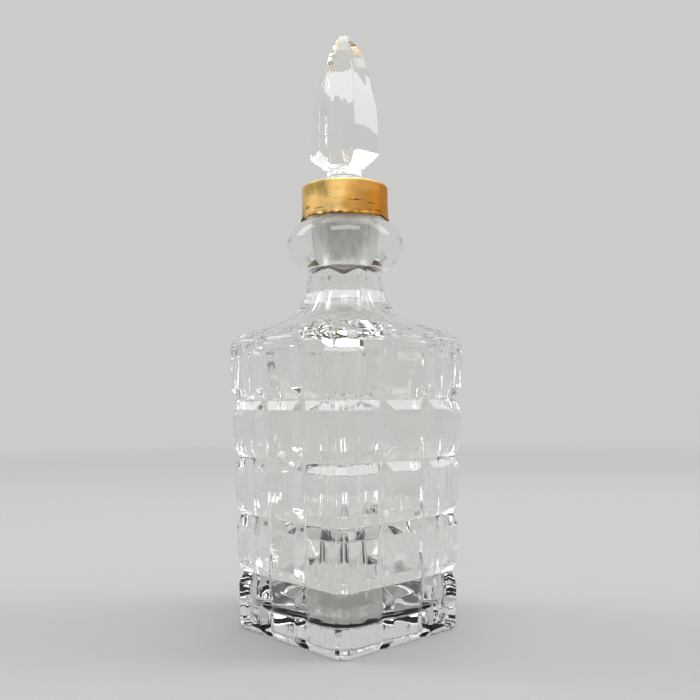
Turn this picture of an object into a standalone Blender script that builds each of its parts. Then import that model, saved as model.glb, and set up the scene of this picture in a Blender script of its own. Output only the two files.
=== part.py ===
"""Square crystal decanter with a cut-block body and a gilt-capped glass stopper.

Metres, +Z up. The bottle stands on the ground plane, centred on the Z axis, with its four faces square to
X and Y. The stopper is one lift-off group: finial, cap shell, plug, gasket and bonding cement, all turned
about the same Z axis and parented to one empty on it.
"""

import math

import bmesh
import bpy
from mathutils import Vector

# Square body, measured over the flat block facets
BODY_TOP_WIDTH = 0.0860
BODY_BASE_WIDTH = 0.0781
BODY_HEIGHT = 0.1417
CORNER_CHAMFER = 0.0046
BASE_BEVEL_DEPTH = 0.0016
BASE_BEVEL_HEIGHT = 0.0032
RIM_BEVEL_HEIGHT = 0.0046

# V-grooves that part the blocks
GROOVE_DEPTH = 0.0024
GROOVE_HALF_WIDTH = 0.0050
FIRST_GROOVE_HEIGHT = 0.0272
GROOVE_PITCH = 0.0279
GROOVES_ROUND = 4
COLUMN_SHARE = 1.0 / 3.0

# Shoulder and eight-sided neck
SHOULDER_RISE = 0.0266
SHOULDER_CURVE_RADIUS = 0.0215
NECK_WIDTH = 0.0374
NECK_FLARE = 0.0003
NECK_LENGTH = 0.0070
HIP_SWELL = 0.0030
HIP_NARROWING_POWER = 4.0

# Glass ring and mouth
RING_RADIUS = 0.0291
RING_THICKNESS = 0.0140
RING_HALF_HEIGHT = 0.0128
MOUTH_RADIUS = 0.0197
MOUTH_RISE = 0.0115
LIP_ROUND = 0.0014
BORE_RADIUS = 0.0110
BORE_TAPER = 0.0005

# Hollow of the bottle
WALL = 0.0058
CAVITY_CORNER_RADIUS = 0.0120
FLOOR_THICKNESS = 0.0105
FLOOR_ROUND = 0.0060
SHOULDER_WALL = 0.0050
BEARING_WIDTH = 0.0100
RECESS_DEPTH = 0.0012
RECESS_SLOPE = 0.0020

# Clearance between pieces that rest on or stand in one another
SEAT_GAP = 0.0003

# Gilt cap shell, a loose fit over the mouth
CAP_WALL = 0.0006
CAP_CLEARANCE = 0.0013
CAP_FLARE = 0.0002
CAP_EDGE_ROUND = 0.0010
CAP_LIP_CURL = 0.0004

# Plug, gasket and bonding cement
GASKET_THICKNESS = 0.0015
FLANGE_THICKNESS = 0.0022
FLANGE_CLEARANCE = 0.0018
PLUG_LENGTH = 0.0336
PLUG_END_TAPER = 0.0010
PLUG_RIB_RISE = 0.0006
PLUG_RIB_HALF_HEIGHT = 0.0012
PLUG_RIBS = 3
PLUG_RIB_PITCH = 0.0075
PLUG_END_ROUND = 0.0015
PLUG_WALL = 0.0030
SOCKET_FLOOR = 0.0040
CEMENT_THICKNESS = 0.0015
CEMENT_CROWN = 0.0006

# Finial
FINIAL_RADIUS = 0.0178
FINIAL_TURN = math.radians(33.5)
FINIAL_UNDERSIDE_HEIGHT = 0.0065
FINIAL_STRAIGHT_HEIGHT = 0.0087
FINIAL_OGIVE_HEIGHT = 0.0551
FINIAL_SIDE_POWER = 1.4
FINIAL_HEIGHT_POWER = 2.2
FOOT_RADIUS = 0.0083
FOOT_HEIGHT = 0.0092
FOOT_BEAD = 0.0004
PEG_RADIUS = 0.0059
PEG_LENGTH = 0.0135
PEG_CHAMFER = 0.0006

# Shapes given as shares: height and depth of the rounded rim and of the base bevel, then radius, height and
# roundness of the finial's underside
RIM_ROUNDING_SHARES = ((0.45, 0.14), (0.78, 0.45), (0.94, 0.75))
BASE_ROUNDING_SHARES = (0.4, 0.3)
FOOT_BEAD_SHARES = (0.0, 0.25, 0.5, 0.75, 1.0)
UNDERSIDE_SHARES = ((0.14, 0.04, 0.8), (0.30, 0.14, 0.4), (0.62, 0.50, 0.1))

# Numbers of loops and facets
SHOULDER_STRAIGHT_STEPS = 4
SHOULDER_CURVE_STEPS = 9
NECK_STEPS = 3
RING_STEPS = 16
LIP_STEPS = 3
EDGE_STEPS = 4
FLOOR_STEPS = 3
FINIAL_OGIVE_STEPS = 12
CAP_FACETS = 56
PLUG_FACETS = 28
FINIAL_SIDES = 6
FINIAL_STEPS_PER_SIDE = 4

# Points of a bottle section: eight across each side and six inside each corner facet, so that a regular
# eight-sided section and a circle have the same even spacing
BODY_SIDES = 4
SIDE_POINTS = 8
HIP_POINTS = 6
SECTION_POINTS = BODY_SIDES * (SIDE_POINTS + HIP_POINTS)
GROOVE_COLUMNS = (2, 5)

MERGE_DISTANCE = 0.000001
PANEL_HALF_ANGLE = math.radians(22.5)
SMOOTH_ANGLE = math.radians(12.0)
SQRT2 = math.sqrt(2.0)

# Heights that follow from the sizes above
NECK_START = BODY_HEIGHT + SHOULDER_RISE
RING_FOOT = NECK_START + NECK_LENGTH
NECK_HALF = 0.5 * NECK_WIDTH
RING_FOOT_RADIUS = NECK_HALF + NECK_FLARE
RING_MIDDLE_RADIUS = RING_RADIUS - RING_THICKNESS
RING_FOOT_ANGLE = math.acos((RING_FOOT_RADIUS - RING_MIDDLE_RADIUS) / RING_THICKNESS)
RING_TOP_ANGLE = math.acos((MOUTH_RADIUS - RING_MIDDLE_RADIUS) / RING_THICKNESS)
RING_HEIGHT = RING_FOOT + RING_HALF_HEIGHT * math.sin(RING_FOOT_ANGLE)
MOUTH_HEIGHT = RING_HEIGHT + RING_HALF_HEIGHT + MOUTH_RISE
GASKET_BOTTOM = MOUTH_HEIGHT + SEAT_GAP
FLANGE_BOTTOM = GASKET_BOTTOM + GASKET_THICKNESS + SEAT_GAP
FLANGE_TOP = FLANGE_BOTTOM + FLANGE_THICKNESS
CAP_CEILING = FLANGE_TOP + SEAT_GAP
CAP_TOP = CAP_CEILING + CAP_WALL
FOOT_BOTTOM = CAP_TOP + SEAT_GAP
PEG_END = FOOT_BOTTOM - PEG_LENGTH
FINIAL_BASE = FOOT_BOTTOM + FOOT_HEIGHT + FINIAL_UNDERSIDE_HEIGHT

# Radii that follow from them
CAP_INNER_RADIUS = MOUTH_RADIUS + CAP_CLEARANCE
CAP_TOP_RADIUS = CAP_INNER_RADIUS + CAP_WALL
CAP_SKIRT_RADIUS = CAP_TOP_RADIUS + CAP_FLARE
SOCKET_RADIUS = PEG_RADIUS + CEMENT_THICKNESS + 2.0 * SEAT_GAP


def clear_scene():
    """Remove every object that the open file holds."""
    for old in list(bpy.data.objects):
        bpy.data.objects.remove(old, do_unlink=True)


def make_material(name, colour, roughness, metallic=0.0, transmission=0.0):
    """A Principled material with the piece's own colour and finish."""
    material = bpy.data.materials.new(name)
    material.use_nodes = True
    shader = material.node_tree.nodes["Principled BSDF"]
    shader.inputs["Base Color"].default_value = (*colour, 1.0)
    shader.inputs["Roughness"].default_value = roughness
    shader.inputs["Metallic"].default_value = metallic
    shader.inputs["Transmission Weight"].default_value = transmission
    return material


def place_object(name, mesh, material, parent=None):
    """Link one named object with its material."""
    mesh.materials.append(material)
    piece = bpy.data.objects.new(name, mesh)
    bpy.context.collection.objects.link(piece)
    piece.parent = parent
    mesh.shade_smooth()
    mesh.set_sharp_from_angle(angle=SMOOTH_ANGLE)
    return piece


def mesh_from(name, bm):
    """Turn a finished bmesh into a mesh with its faces pointing out."""
    bmesh.ops.remove_doubles(bm, verts=bm.verts, dist=MERGE_DISTANCE)
    bmesh.ops.recalc_face_normals(bm, faces=bm.faces)
    mesh = bpy.data.meshes.new(name)
    bm.to_mesh(mesh)
    bm.free()
    return mesh


def add_loop(bm, points):
    """Add one closed loop of vertices."""
    return [bm.verts.new(point) for point in points]


def join_loops(bm, lower, upper, cut_from=None):
    """Bridge two loops of equal length, and cut a quad from its high corner where one is named."""
    count = len(lower)
    for index in range(count):
        after = (index + 1) % count
        corners = [lower[index], lower[after], upper[after], upper[index]]
        start = cut_from(index, after) if cut_from else None
        if start is None:
            bm.faces.new(corners)
            continue
        turned = corners[start:] + corners[:start]
        bm.faces.new(turned[:3])
        bm.faces.new([turned[0], turned[2], turned[3]])


def continue_loft(bm, last, sections):
    """Go on from a loop through more (plane points, height) sections, and give back the last loop."""
    for points, height in sections:
        following = add_loop(bm, at_height(points, height))
        join_loops(bm, last, following)
        last = following
    return last


def turn_profile(name, profile, facets):
    """Spin a closed profile of (radius, height) points once round the Z axis.

    A profile may run along the axis; the points there merge into one.
    """
    bm = bmesh.new()
    loop = [bm.verts.new((radius, 0.0, height)) for radius, height in profile]
    edges = []
    for index, (radius, _height) in enumerate(profile):
        if max(radius, profile[index - 1][0]) > 0.0:
            edges.append(bm.edges.new((loop[index - 1], loop[index])))
    bmesh.ops.spin(bm, geom=loop + edges, cent=(0.0, 0.0, 0.0), axis=(0.0, 0.0, 1.0),
                   angle=2.0 * math.pi, steps=facets, use_merge=True)
    return mesh_from(name, bm)


def arc_points(centre, radius, start, end, steps):
    """Points on an arc in the (radius, height) plane, angles measured from the outward direction."""
    points = []
    for step in range(steps + 1):
        angle = start + (end - start) * step / steps
        points.append((centre[0] + radius * math.cos(angle), centre[1] + radius * math.sin(angle)))
    return points


def rotated(point, angle):
    """A plane point turned about the axis."""
    cosine = math.cos(angle)
    sine = math.sin(angle)
    return Vector((point.x * cosine - point.y * sine, point.x * sine + point.y * cosine))


def at_height(points, height):
    """Lift plane points to a height."""
    return [(point.x, point.y, height) for point in points]


def face_distance(height):
    """Distance of the flat block facets from the axis; the body tapers evenly to its base."""
    return 0.5 * (BODY_BASE_WIDTH + (BODY_TOP_WIDTH - BODY_BASE_WIDTH) * height / BODY_HEIGHT)


def corner_distance(height):
    """Distance of the corner facets from the axis."""
    return SQRT2 * face_distance(height) - CORNER_CHAMFER / SQRT2


RIM_FACE = face_distance(BODY_HEIGHT) - GROOVE_DEPTH
RIM_HIP = corner_distance(BODY_HEIGHT) - GROOVE_DEPTH


def eight_sided_loop(side, hip):
    """Repeat the points of one side round the axis, and fill the corner facets between them.

    hip is the distance of the corner facets, which the sides' end points lie on.
    """
    points = []
    for quarter in range(BODY_SIDES):
        turn = quarter * math.pi / 2.0
        here = [rotated(point, turn) for point in side]
        edge = side[0].y
        following = rotated(Vector((SQRT2 * hip + edge, edge)), turn + math.pi / 2.0)
        points.extend(here)
        for step in range(1, HIP_POINTS + 1):
            points.append(here[-1].lerp(following, step / (HIP_POINTS + 1)))
    return points


def circle_loop(radius):
    """A round section with as many points as an eight-sided one, evenly spaced."""
    step = 2.0 * math.pi / SECTION_POINTS
    first = -0.5 * (SIDE_POINTS - 1) * step
    return [Vector((radius * math.cos(first + step * index), radius * math.sin(first + step * index)))
            for index in range(SECTION_POINTS)]


def groove_columns(height):
    """Where the points of one body side lie across it, measured from its middle."""
    face = face_distance(height)
    middle = 2.0 * face * (0.5 - COLUMN_SHARE)
    inner = middle - GROOVE_HALF_WIDTH
    outer = middle + GROOVE_HALF_WIDTH
    edge = face - CORNER_CHAMFER
    return [-edge, -outer, -middle, -inner, inner, middle, outer, edge]


def body_rows():
    """Heights of the body's loops, each with how deep the cut that runs round the body is there."""
    mid_rise, mid_cut = BASE_ROUNDING_SHARES
    rows = [(0.0, BASE_BEVEL_DEPTH), (mid_rise * BASE_BEVEL_HEIGHT, mid_cut * BASE_BEVEL_DEPTH),
            (BASE_BEVEL_HEIGHT, 0.0)]
    for index in range(GROOVES_ROUND):
        middle = FIRST_GROOVE_HEIGHT + index * GROOVE_PITCH
        rows.append((middle - GROOVE_HALF_WIDTH, 0.0))
        rows.append((middle, GROOVE_DEPTH))
        rows.append((middle + GROOVE_HALF_WIDTH, 0.0))
    bevel_start = BODY_HEIGHT - RIM_BEVEL_HEIGHT
    rows.append((bevel_start, 0.0))
    for rise_share, cut_share in RIM_ROUNDING_SHARES:
        rows.append((bevel_start + rise_share * RIM_BEVEL_HEIGHT, cut_share * GROOVE_DEPTH))
    rows.append((BODY_HEIGHT, GROOVE_DEPTH))
    return rows


def body_section(height, round_cut):
    """One loop of the block body, with the upright grooves and the cut that runs round it."""
    face = face_distance(height)
    edge = face - CORNER_CHAMFER - (SQRT2 - 1.0) * round_cut
    cuts = [max(round_cut, column_cut(index)) for index in range(SIDE_POINTS)]
    places = [-edge] + groove_columns(height)[1:-1] + [edge]
    side = [Vector((face - cut, place)) for cut, place in zip(cuts, places)]
    return eight_sided_loop(side, corner_distance(height) - round_cut)


def column_cut(index):
    """How deep the upright groove is at a point of a body loop."""
    place = index % (SIDE_POINTS + HIP_POINTS)
    return GROOVE_DEPTH if place in GROOVE_COLUMNS else 0.0


def mitre_chooser(lower_cut, upper_cut):
    """Say at which corner a quad of the block body is cut, so that flanks meet in a mitre."""

    def choose(index, after):
        cuts = [max(lower_cut, column_cut(index)), max(lower_cut, column_cut(after)),
                max(upper_cut, column_cut(after)), max(upper_cut, column_cut(index))]
        shallow = [place for place, cut in enumerate(cuts) if cut < min(cuts) + MERGE_DISTANCE]
        return shallow[0] if len(shallow) == 1 else None

    return choose


def shoulder_profile():
    """The shoulder's corner line from rim to neck: a straight slope that runs into a hollow arc.

    Each entry is the distance of the corner facet, its height and the slope's angle. The slope starts at
    the rim and touches the arc, which ends upright at the neck.
    """
    centre = (NECK_HALF + SHOULDER_CURVE_RADIUS, NECK_START)
    across = RIM_HIP - centre[0]
    reach = math.hypot(across, SHOULDER_RISE)
    slope = math.atan2(SHOULDER_RISE, across) - math.asin(SHOULDER_CURVE_RADIUS / reach)
    touch = (centre[0] - SHOULDER_CURVE_RADIUS * math.sin(slope),
             centre[1] - SHOULDER_CURVE_RADIUS * math.cos(slope))
    profile = []
    for step in range(1, SHOULDER_STRAIGHT_STEPS):
        share = step / SHOULDER_STRAIGHT_STEPS
        profile.append((RIM_HIP + (touch[0] - RIM_HIP) * share,
                        BODY_HEIGHT + (touch[1] - BODY_HEIGHT) * share, slope))
    for step in range(SHOULDER_CURVE_STEPS + 1):
        angle = slope + (0.5 * math.pi - slope) * step / SHOULDER_CURVE_STEPS
        profile.append((centre[0] - SHOULDER_CURVE_RADIUS * math.sin(angle),
                        centre[1] - SHOULDER_CURVE_RADIUS * math.cos(angle), angle))
    return profile


def hip_share(hip):
    """How far out along the shoulder a corner facet lies: 0 at the neck and 1 at the rim."""
    return min(max((hip - NECK_HALF) / (RIM_HIP - NECK_HALF), 0.0), 1.0)


def shoulder_face(hip):
    """Distance of the side panels, from the width that the corner panel has there."""
    share = hip_share(hip)
    neck_width = (SQRT2 - 1.0) * NECK_WIDTH
    rim_width = 2.0 * (SQRT2 * RIM_FACE - RIM_HIP)
    width = neck_width + (rim_width - neck_width) * share ** HIP_NARROWING_POWER
    width += HIP_SWELL * 4.0 * share * (1.0 - share)
    return (width + 2.0 * hip) / (2.0 * SQRT2)


def shoulder_section(hip):
    """One loop of the shoulder: points even across a side at the neck, and as the block columns at the rim."""
    share = hip_share(hip)
    face = shoulder_face(hip)
    edge = SQRT2 * hip - face
    columns = groove_columns(BODY_HEIGHT)
    side = []
    for index, column in enumerate(columns):
        even = 2.0 * index / (SIDE_POINTS - 1) - 1.0
        place = even + (column / columns[-1] - even) * share
        side.append(Vector((face, place * edge)))
    return eight_sided_loop(side, hip)


def neck_sections():
    """Sections from the eight-sided neck to the round foot of the ring."""
    flat = shoulder_section(NECK_HALF)
    sections = []
    for step in range(1, NECK_STEPS + 1):
        share = step / NECK_STEPS
        turned = circle_loop(NECK_HALF + NECK_FLARE * share * share)
        sections.append(([old.lerp(new, share) for old, new in zip(flat, turned)],
                         NECK_START + NECK_LENGTH * share))
    return sections


def ring_outline():
    """The glass ring and the mouth above it, from just over the ring's foot to the lip's inner edge."""
    outline = []
    for step in range(1, RING_STEPS + 1):
        angle = -RING_FOOT_ANGLE + (RING_FOOT_ANGLE + RING_TOP_ANGLE) * step / RING_STEPS
        outline.append((RING_MIDDLE_RADIUS + RING_THICKNESS * math.cos(angle),
                        RING_HEIGHT + RING_HALF_HEIGHT * math.sin(angle)))
    outer = (MOUTH_RADIUS - LIP_ROUND, MOUTH_HEIGHT - LIP_ROUND)
    outline.extend(arc_points(outer, LIP_ROUND, 0.0, 0.5 * math.pi, LIP_STEPS))
    inner = (BORE_RADIUS + LIP_ROUND, MOUTH_HEIGHT - LIP_ROUND)
    outline.extend(arc_points(inner, LIP_ROUND, 0.5 * math.pi, math.pi, LIP_STEPS))
    return outline


def ring_surface(radius):
    """Height of the glass ring's upper side at a radius."""
    across = (radius - RING_MIDDLE_RADIUS) / RING_THICKNESS
    return RING_HEIGHT + RING_HALF_HEIGHT * math.sqrt(1.0 - across * across)


def bore_radius(height):
    """The neck's bore narrows a little from the lip down to the shoulder."""
    share = (MOUTH_HEIGHT - height) / (MOUTH_HEIGHT - NECK_START)
    return BORE_RADIUS - BORE_TAPER * min(max(share, 0.0), 1.0)


def cavity_loop(face, corner_radius):
    """A square with rounded corners, with the same points as the outer sections."""
    straight = face - corner_radius
    points = []
    for index in range(SECTION_POINTS):
        angle = 2.0 * math.pi * (index - 0.5 * (SIDE_POINTS - 1)) / SECTION_POINTS
        quarter = math.floor(2.0 * angle / math.pi + 0.5)
        local = angle - 0.5 * math.pi * quarter
        if abs(local) < PANEL_HALF_ANGLE - MERGE_DISTANCE:
            point = Vector((face, straight * local / PANEL_HALF_ANGLE))
        else:
            turn = (abs(local) - PANEL_HALF_ANGLE) * 2.0
            point = Vector((straight + corner_radius * math.cos(turn),
                            math.copysign(straight + corner_radius * math.sin(turn), local)))
        points.append(rotated(point, 0.5 * math.pi * quarter))
    return points


def cavity_rows():
    """Half width, corner radius and height of the hollow's loops, from the neck down to the floor.

    Under the shoulder the hollow follows the outside at a wall that thins from the thick neck to the rim,
    and its section opens from the round bore to the square with rounded corners.
    """
    bore = bore_radius(NECK_START)
    neck_wall = NECK_HALF - bore
    rows = [(bore, bore, NECK_START)]
    for hip, height, slope in reversed(shoulder_profile()[:-1]):
        share = hip_share(hip)
        wall = neck_wall + (SHOULDER_WALL - neck_wall) * share
        level = height - wall * math.cos(slope)
        face = min(shoulder_face(hip) - wall * math.sin(slope), face_distance(level) - WALL)
        face = max(face, bore)
        corner = CAVITY_CORNER_RADIUS + (face - CAVITY_CORNER_RADIUS) * (1.0 - share)
        rows.append((face, min(corner, face), level))
    straight_top = rows[-1][2] - SHOULDER_WALL
    floor_top = FLOOR_THICKNESS + FLOOR_ROUND
    for height in (straight_top, floor_top):
        rows.append((face_distance(height) - WALL, CAVITY_CORNER_RADIUS, height))
    for step in range(1, FLOOR_STEPS + 1):
        angle = 0.5 * math.pi * step / FLOOR_STEPS
        drawn_in = FLOOR_ROUND * (1.0 - math.cos(angle))
        height = floor_top - FLOOR_ROUND * math.sin(angle)
        rows.append((face_distance(height) - WALL - drawn_in, CAVITY_CORNER_RADIUS - drawn_in, height))
    return rows


def build_bottle(material):
    """The bottle: block body, shoulder, neck, ring and mouth outside, and the hollow inside."""
    bm = bmesh.new()
    rows = body_rows()
    loops = [add_loop(bm, at_height(body_section(height, cut), height)) for height, cut in rows]
    for index in range(len(rows) - 1):
        join_loops(bm, loops[index], loops[index + 1], mitre_chooser(rows[index][1], rows[index + 1][1]))
    sections = [(shoulder_section(hip), height) for hip, height, _slope in shoulder_profile()]
    sections.extend(neck_sections())
    sections.extend((circle_loop(radius), height) for radius, height in ring_outline())
    sections.extend((cavity_loop(face, corner), height) for face, corner, height in cavity_rows())
    floor = continue_loft(bm, loops[-1], sections)
    bm.faces.new(floor)

    base = body_section(0.0, BASE_BEVEL_DEPTH)
    base_half = face_distance(0.0) - BASE_BEVEL_DEPTH
    recess = []
    for inset, height in ((BEARING_WIDTH, 0.0), (BEARING_WIDTH + RECESS_SLOPE, RECESS_DEPTH)):
        share = (base_half - inset) / base_half
        recess.append(([point * share for point in base], height))
    bm.faces.new(continue_loft(bm, loops[0], recess))
    return place_object("bottle", mesh_from("bottle", bm), material)


def build_cap_shell(material, parent):
    """The cap: a thin drawn cup turned over the mouth, with a hole for the peg and a curled edge."""
    hole = PEG_RADIUS + SEAT_GAP
    skirt_inner = CAP_INNER_RADIUS + CAP_FLARE
    bottom = ring_surface(skirt_inner) + SEAT_GAP
    centre = (CAP_TOP_RADIUS - CAP_EDGE_ROUND, CAP_TOP - CAP_EDGE_ROUND)
    curl = (CAP_SKIRT_RADIUS, bottom + CAP_LIP_CURL)
    profile = [(hole, CAP_TOP)]
    profile.extend(arc_points(centre, CAP_EDGE_ROUND, 0.5 * math.pi, 0.0, EDGE_STEPS))
    profile.extend(arc_points(curl, CAP_LIP_CURL, 0.5 * math.pi, -0.5 * math.pi, EDGE_STEPS))
    profile.append((skirt_inner, bottom))
    profile.extend(arc_points(centre, CAP_EDGE_ROUND - CAP_WALL, 0.0, 0.5 * math.pi, EDGE_STEPS))
    profile.append((hole, CAP_CEILING))
    return place_object("cap_shell", turn_profile("cap_shell", profile, CAP_FACETS), material, parent)


def plug_radius(height):
    """Radius of the plug's shank, a little narrower than the bore and tapering to its end."""
    share = (MOUTH_HEIGHT - height) / PLUG_LENGTH
    return bore_radius(height) - SEAT_GAP - PLUG_RIB_RISE - PLUG_END_TAPER * share


def build_stopper_plug(material, parent):
    """The plug: a flange over the lip, a ribbed shank in the bore and a socket for the peg."""
    end = MOUTH_HEIGHT - PLUG_LENGTH
    socket_bottom = PEG_END - SEAT_GAP
    web_bottom = socket_bottom - SOCKET_FLOOR
    flange = CAP_INNER_RADIUS - FLANGE_CLEARANCE
    profile = [(SOCKET_RADIUS, FLANGE_TOP), (flange, FLANGE_TOP), (flange, FLANGE_BOTTOM),
               (plug_radius(MOUTH_HEIGHT), FLANGE_BOTTOM), (plug_radius(MOUTH_HEIGHT), MOUTH_HEIGHT)]
    for index in range(PLUG_RIBS):
        middle = MOUTH_HEIGHT - LIP_ROUND - (index + 1) * PLUG_RIB_PITCH
        radius = plug_radius(middle)
        profile.append((radius, middle + PLUG_RIB_HALF_HEIGHT))
        profile.append((radius + PLUG_RIB_RISE, middle))
        profile.append((radius, middle - PLUG_RIB_HALF_HEIGHT))
    tip = plug_radius(end)
    profile.extend([(tip, end + PLUG_END_ROUND), (tip - PLUG_END_ROUND, end),
                    (tip - PLUG_WALL, end), (tip - PLUG_WALL, web_bottom),
                    (0.0, web_bottom), (0.0, socket_bottom), (SOCKET_RADIUS, socket_bottom)])
    mesh = turn_profile("stopper_plug", profile, PLUG_FACETS)
    return place_object("stopper_plug", mesh, material, parent)


def build_lip_gasket(material, parent):
    """The gasket: a soft flat ring between the plug's flange and the glass lip."""
    inner = plug_radius(MOUTH_HEIGHT) + SEAT_GAP
    outer = MOUTH_RADIUS - LIP_ROUND
    top = GASKET_BOTTOM + GASKET_THICKNESS
    profile = [(inner, GASKET_BOTTOM), (inner, top), (outer, top), (outer, GASKET_BOTTOM)]
    return place_object("lip_gasket", turn_profile("lip_gasket", profile, PLUG_FACETS), material, parent)


def build_bonding_cement(material, parent):
    """The cement: it fills the plug's socket round the peg, up to the cap."""
    inner = PEG_RADIUS + SEAT_GAP
    outer = inner + CEMENT_THICKNESS
    profile = [(inner, PEG_END), (inner, FLANGE_TOP), (outer, FLANGE_TOP - CEMENT_CROWN), (outer, PEG_END)]
    mesh = turn_profile("bonding_cement", profile, PLUG_FACETS)
    return place_object("bonding_cement", mesh, material, parent)


def hexagon_loop(radius, roundness):
    """A six-sided section that turns into a circle of the same radius as roundness goes to 1."""
    points = []
    half_side = math.pi / FINIAL_SIDES
    for index in range(FINIAL_SIDES * FINIAL_STEPS_PER_SIDE):
        share = (index % FINIAL_STEPS_PER_SIDE) / FINIAL_STEPS_PER_SIDE
        angle = 2.0 * half_side * index / FINIAL_STEPS_PER_SIDE
        flat = math.cos(half_side) / math.cos(half_side * (2.0 * share - 1.0))
        reach = radius * (flat + (1.0 - flat) * roundness)
        points.append(rotated(Vector((reach, 0.0)), angle + FINIAL_TURN))
    return points


def finial_rows():
    """Radius, roundness and height of the finial's loops, from the peg's end to just under the tip."""
    rows = [(PEG_RADIUS - PEG_CHAMFER, 1.0, PEG_END), (PEG_RADIUS, 1.0, PEG_END + PEG_CHAMFER),
            (PEG_RADIUS, 1.0, FOOT_BOTTOM)]
    for share in FOOT_BEAD_SHARES:
        radius = FOOT_RADIUS + FOOT_BEAD * math.sin(math.pi * share)
        rows.append((radius, 1.0, FOOT_BOTTOM + FOOT_HEIGHT * share))
    for out_share, rise_share, roundness in UNDERSIDE_SHARES:
        rows.append((FOOT_RADIUS + (FINIAL_RADIUS - FOOT_RADIUS) * out_share, roundness,
                     FOOT_BOTTOM + FOOT_HEIGHT + FINIAL_UNDERSIDE_HEIGHT * rise_share))
    rows.append((FINIAL_RADIUS, 0.0, FINIAL_BASE))
    for step in range(FINIAL_OGIVE_STEPS):
        share = math.sin(0.5 * math.pi * step / FINIAL_OGIVE_STEPS)
        radius = FINIAL_RADIUS * (1.0 - share ** FINIAL_HEIGHT_POWER) ** (1.0 / FINIAL_SIDE_POWER)
        rows.append((radius, 0.0, FINIAL_BASE + FINIAL_STRAIGHT_HEIGHT + FINIAL_OGIVE_HEIGHT * share))
    return rows


def build_finial(material, parent):
    """The finial: a round peg and foot under a solid six-sided bullet with bowed edges."""
    bm = bmesh.new()
    sections = [(hexagon_loop(radius, roundness), height) for radius, roundness, height in finial_rows()]
    points, height = sections[0]
    first = add_loop(bm, at_height(points, height))
    bm.faces.new(first)
    last = continue_loft(bm, first, sections[1:])
    tip = bm.verts.new((0.0, 0.0, FINIAL_BASE + FINIAL_STRAIGHT_HEIGHT + FINIAL_OGIVE_HEIGHT))
    for index in range(len(last)):
        bm.faces.new((last[index - 1], last[index], tip))
    return place_object("finial", mesh_from("finial", bm), material, parent)


def build_decanter():
    """Build every piece, with the stopper's pieces under one empty on the lift axis."""
    clear_scene()
    glass = make_material("clear_glass", (0.95, 0.96, 0.95), 0.03, transmission=1.0)
    gilt = make_material("worn_gilt_brass", (0.72, 0.47, 0.20), 0.32, metallic=1.0)
    plastic = make_material("milky_plastic", (0.82, 0.83, 0.78), 0.45)
    rubber = make_material("soft_seal", (0.60, 0.58, 0.54), 0.70)
    cement = make_material("pale_cement", (0.85, 0.83, 0.78), 0.85)
    stopper = bpy.data.objects.new("stopper_axis", None)
    bpy.context.collection.objects.link(stopper)
    build_bottle(glass)
    build_cap_shell(gilt, stopper)
    build_stopper_plug(plastic, stopper)
    build_lip_gasket(rubber, stopper)
    build_bonding_cement(cement, stopper)
    build_finial(glass, stopper)


build_decanter()
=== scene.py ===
"""Dressed model of a square cut-block crystal decanter and its gilt-capped glass stopper.

Metres, +Z up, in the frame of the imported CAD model. The bottle, finial, cap shell and plug are finer surfaces
that stand for their CAD nodes; the gasket and the cement keep their CAD meshes and get finishes of their own.
Every new surface is a lattice: rings of vertices, one above another, worked out as whole numpy arrays.
"""

import logging
import math
from dataclasses import dataclass, field
from enum import Enum

import bpy
import numpy as np
from mathutils import Matrix


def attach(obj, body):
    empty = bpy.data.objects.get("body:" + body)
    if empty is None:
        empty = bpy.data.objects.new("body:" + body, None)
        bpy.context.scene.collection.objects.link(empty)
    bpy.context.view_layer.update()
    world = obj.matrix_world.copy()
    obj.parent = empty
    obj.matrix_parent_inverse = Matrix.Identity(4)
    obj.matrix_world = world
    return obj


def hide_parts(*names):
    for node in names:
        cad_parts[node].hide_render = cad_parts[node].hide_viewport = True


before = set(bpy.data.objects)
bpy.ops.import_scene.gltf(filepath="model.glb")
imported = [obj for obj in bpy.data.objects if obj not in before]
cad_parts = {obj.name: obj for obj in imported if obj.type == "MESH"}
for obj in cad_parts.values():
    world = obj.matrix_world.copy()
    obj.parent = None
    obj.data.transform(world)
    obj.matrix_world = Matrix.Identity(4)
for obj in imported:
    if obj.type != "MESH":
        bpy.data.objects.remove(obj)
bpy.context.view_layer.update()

logging.basicConfig(level=logging.INFO, format="%(name)s: %(message)s")
LOG = logging.getLogger("decanter")

SQRT2 = math.sqrt(2.0)
MM = 0.001

Colour = tuple[float, float, float]
Vector3 = tuple[float, float, float]
Shares = tuple[float, ...]
Array = np.ndarray
Socket = bpy.types.NodeSocket

UP: Vector3 = (0.0, 0.0, 1.0)


class CadBody(Enum):
    """The bodies that the pieces ride on."""

    DECANTER = "decanter"
    STOPPER = "stopper"


class Slot(Enum):
    """The names of the record's finishes for the new surfaces."""

    CLEAR_GLASS = "clear_glass"
    WORN_GILT = "worn_gilt_brass"
    MILKY_PLASTIC = "milky_plastic"


class Join(Enum):
    """How the first and last ring of a lattice end."""

    POLES = "poles"
    LOOP = "loop"


def smooth_step(share: Array | float) -> Array | float:
    """Cubic ease from 0 to 1, level at both ends.

    Args:
        share: position between the two ends; it is clamped to 0 and 1.

    Returns:
        Three times the share squared less twice its cube.
    """
    inside = np.clip(share, 0.0, 1.0)
    return inside * inside * (3.0 - 2.0 * inside)


def arc(centre: tuple[float, float], radius: float, start: float, end: float, steps: int) -> Array:
    """Points of an arc in the (radius, height) plane.

    Args:
        centre: middle of the arc.
        radius: its radius.
        start: first angle in degrees from the outward direction.
        end: last angle in degrees.
        steps: number of equal steps between them.

    Returns:
        An array of steps + 1 rows of radius and height.
    """
    angle = np.radians(np.linspace(start, end, steps + 1))
    return np.stack([centre[0] + radius * np.cos(angle), centre[1] + radius * np.sin(angle)], axis=1)


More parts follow.
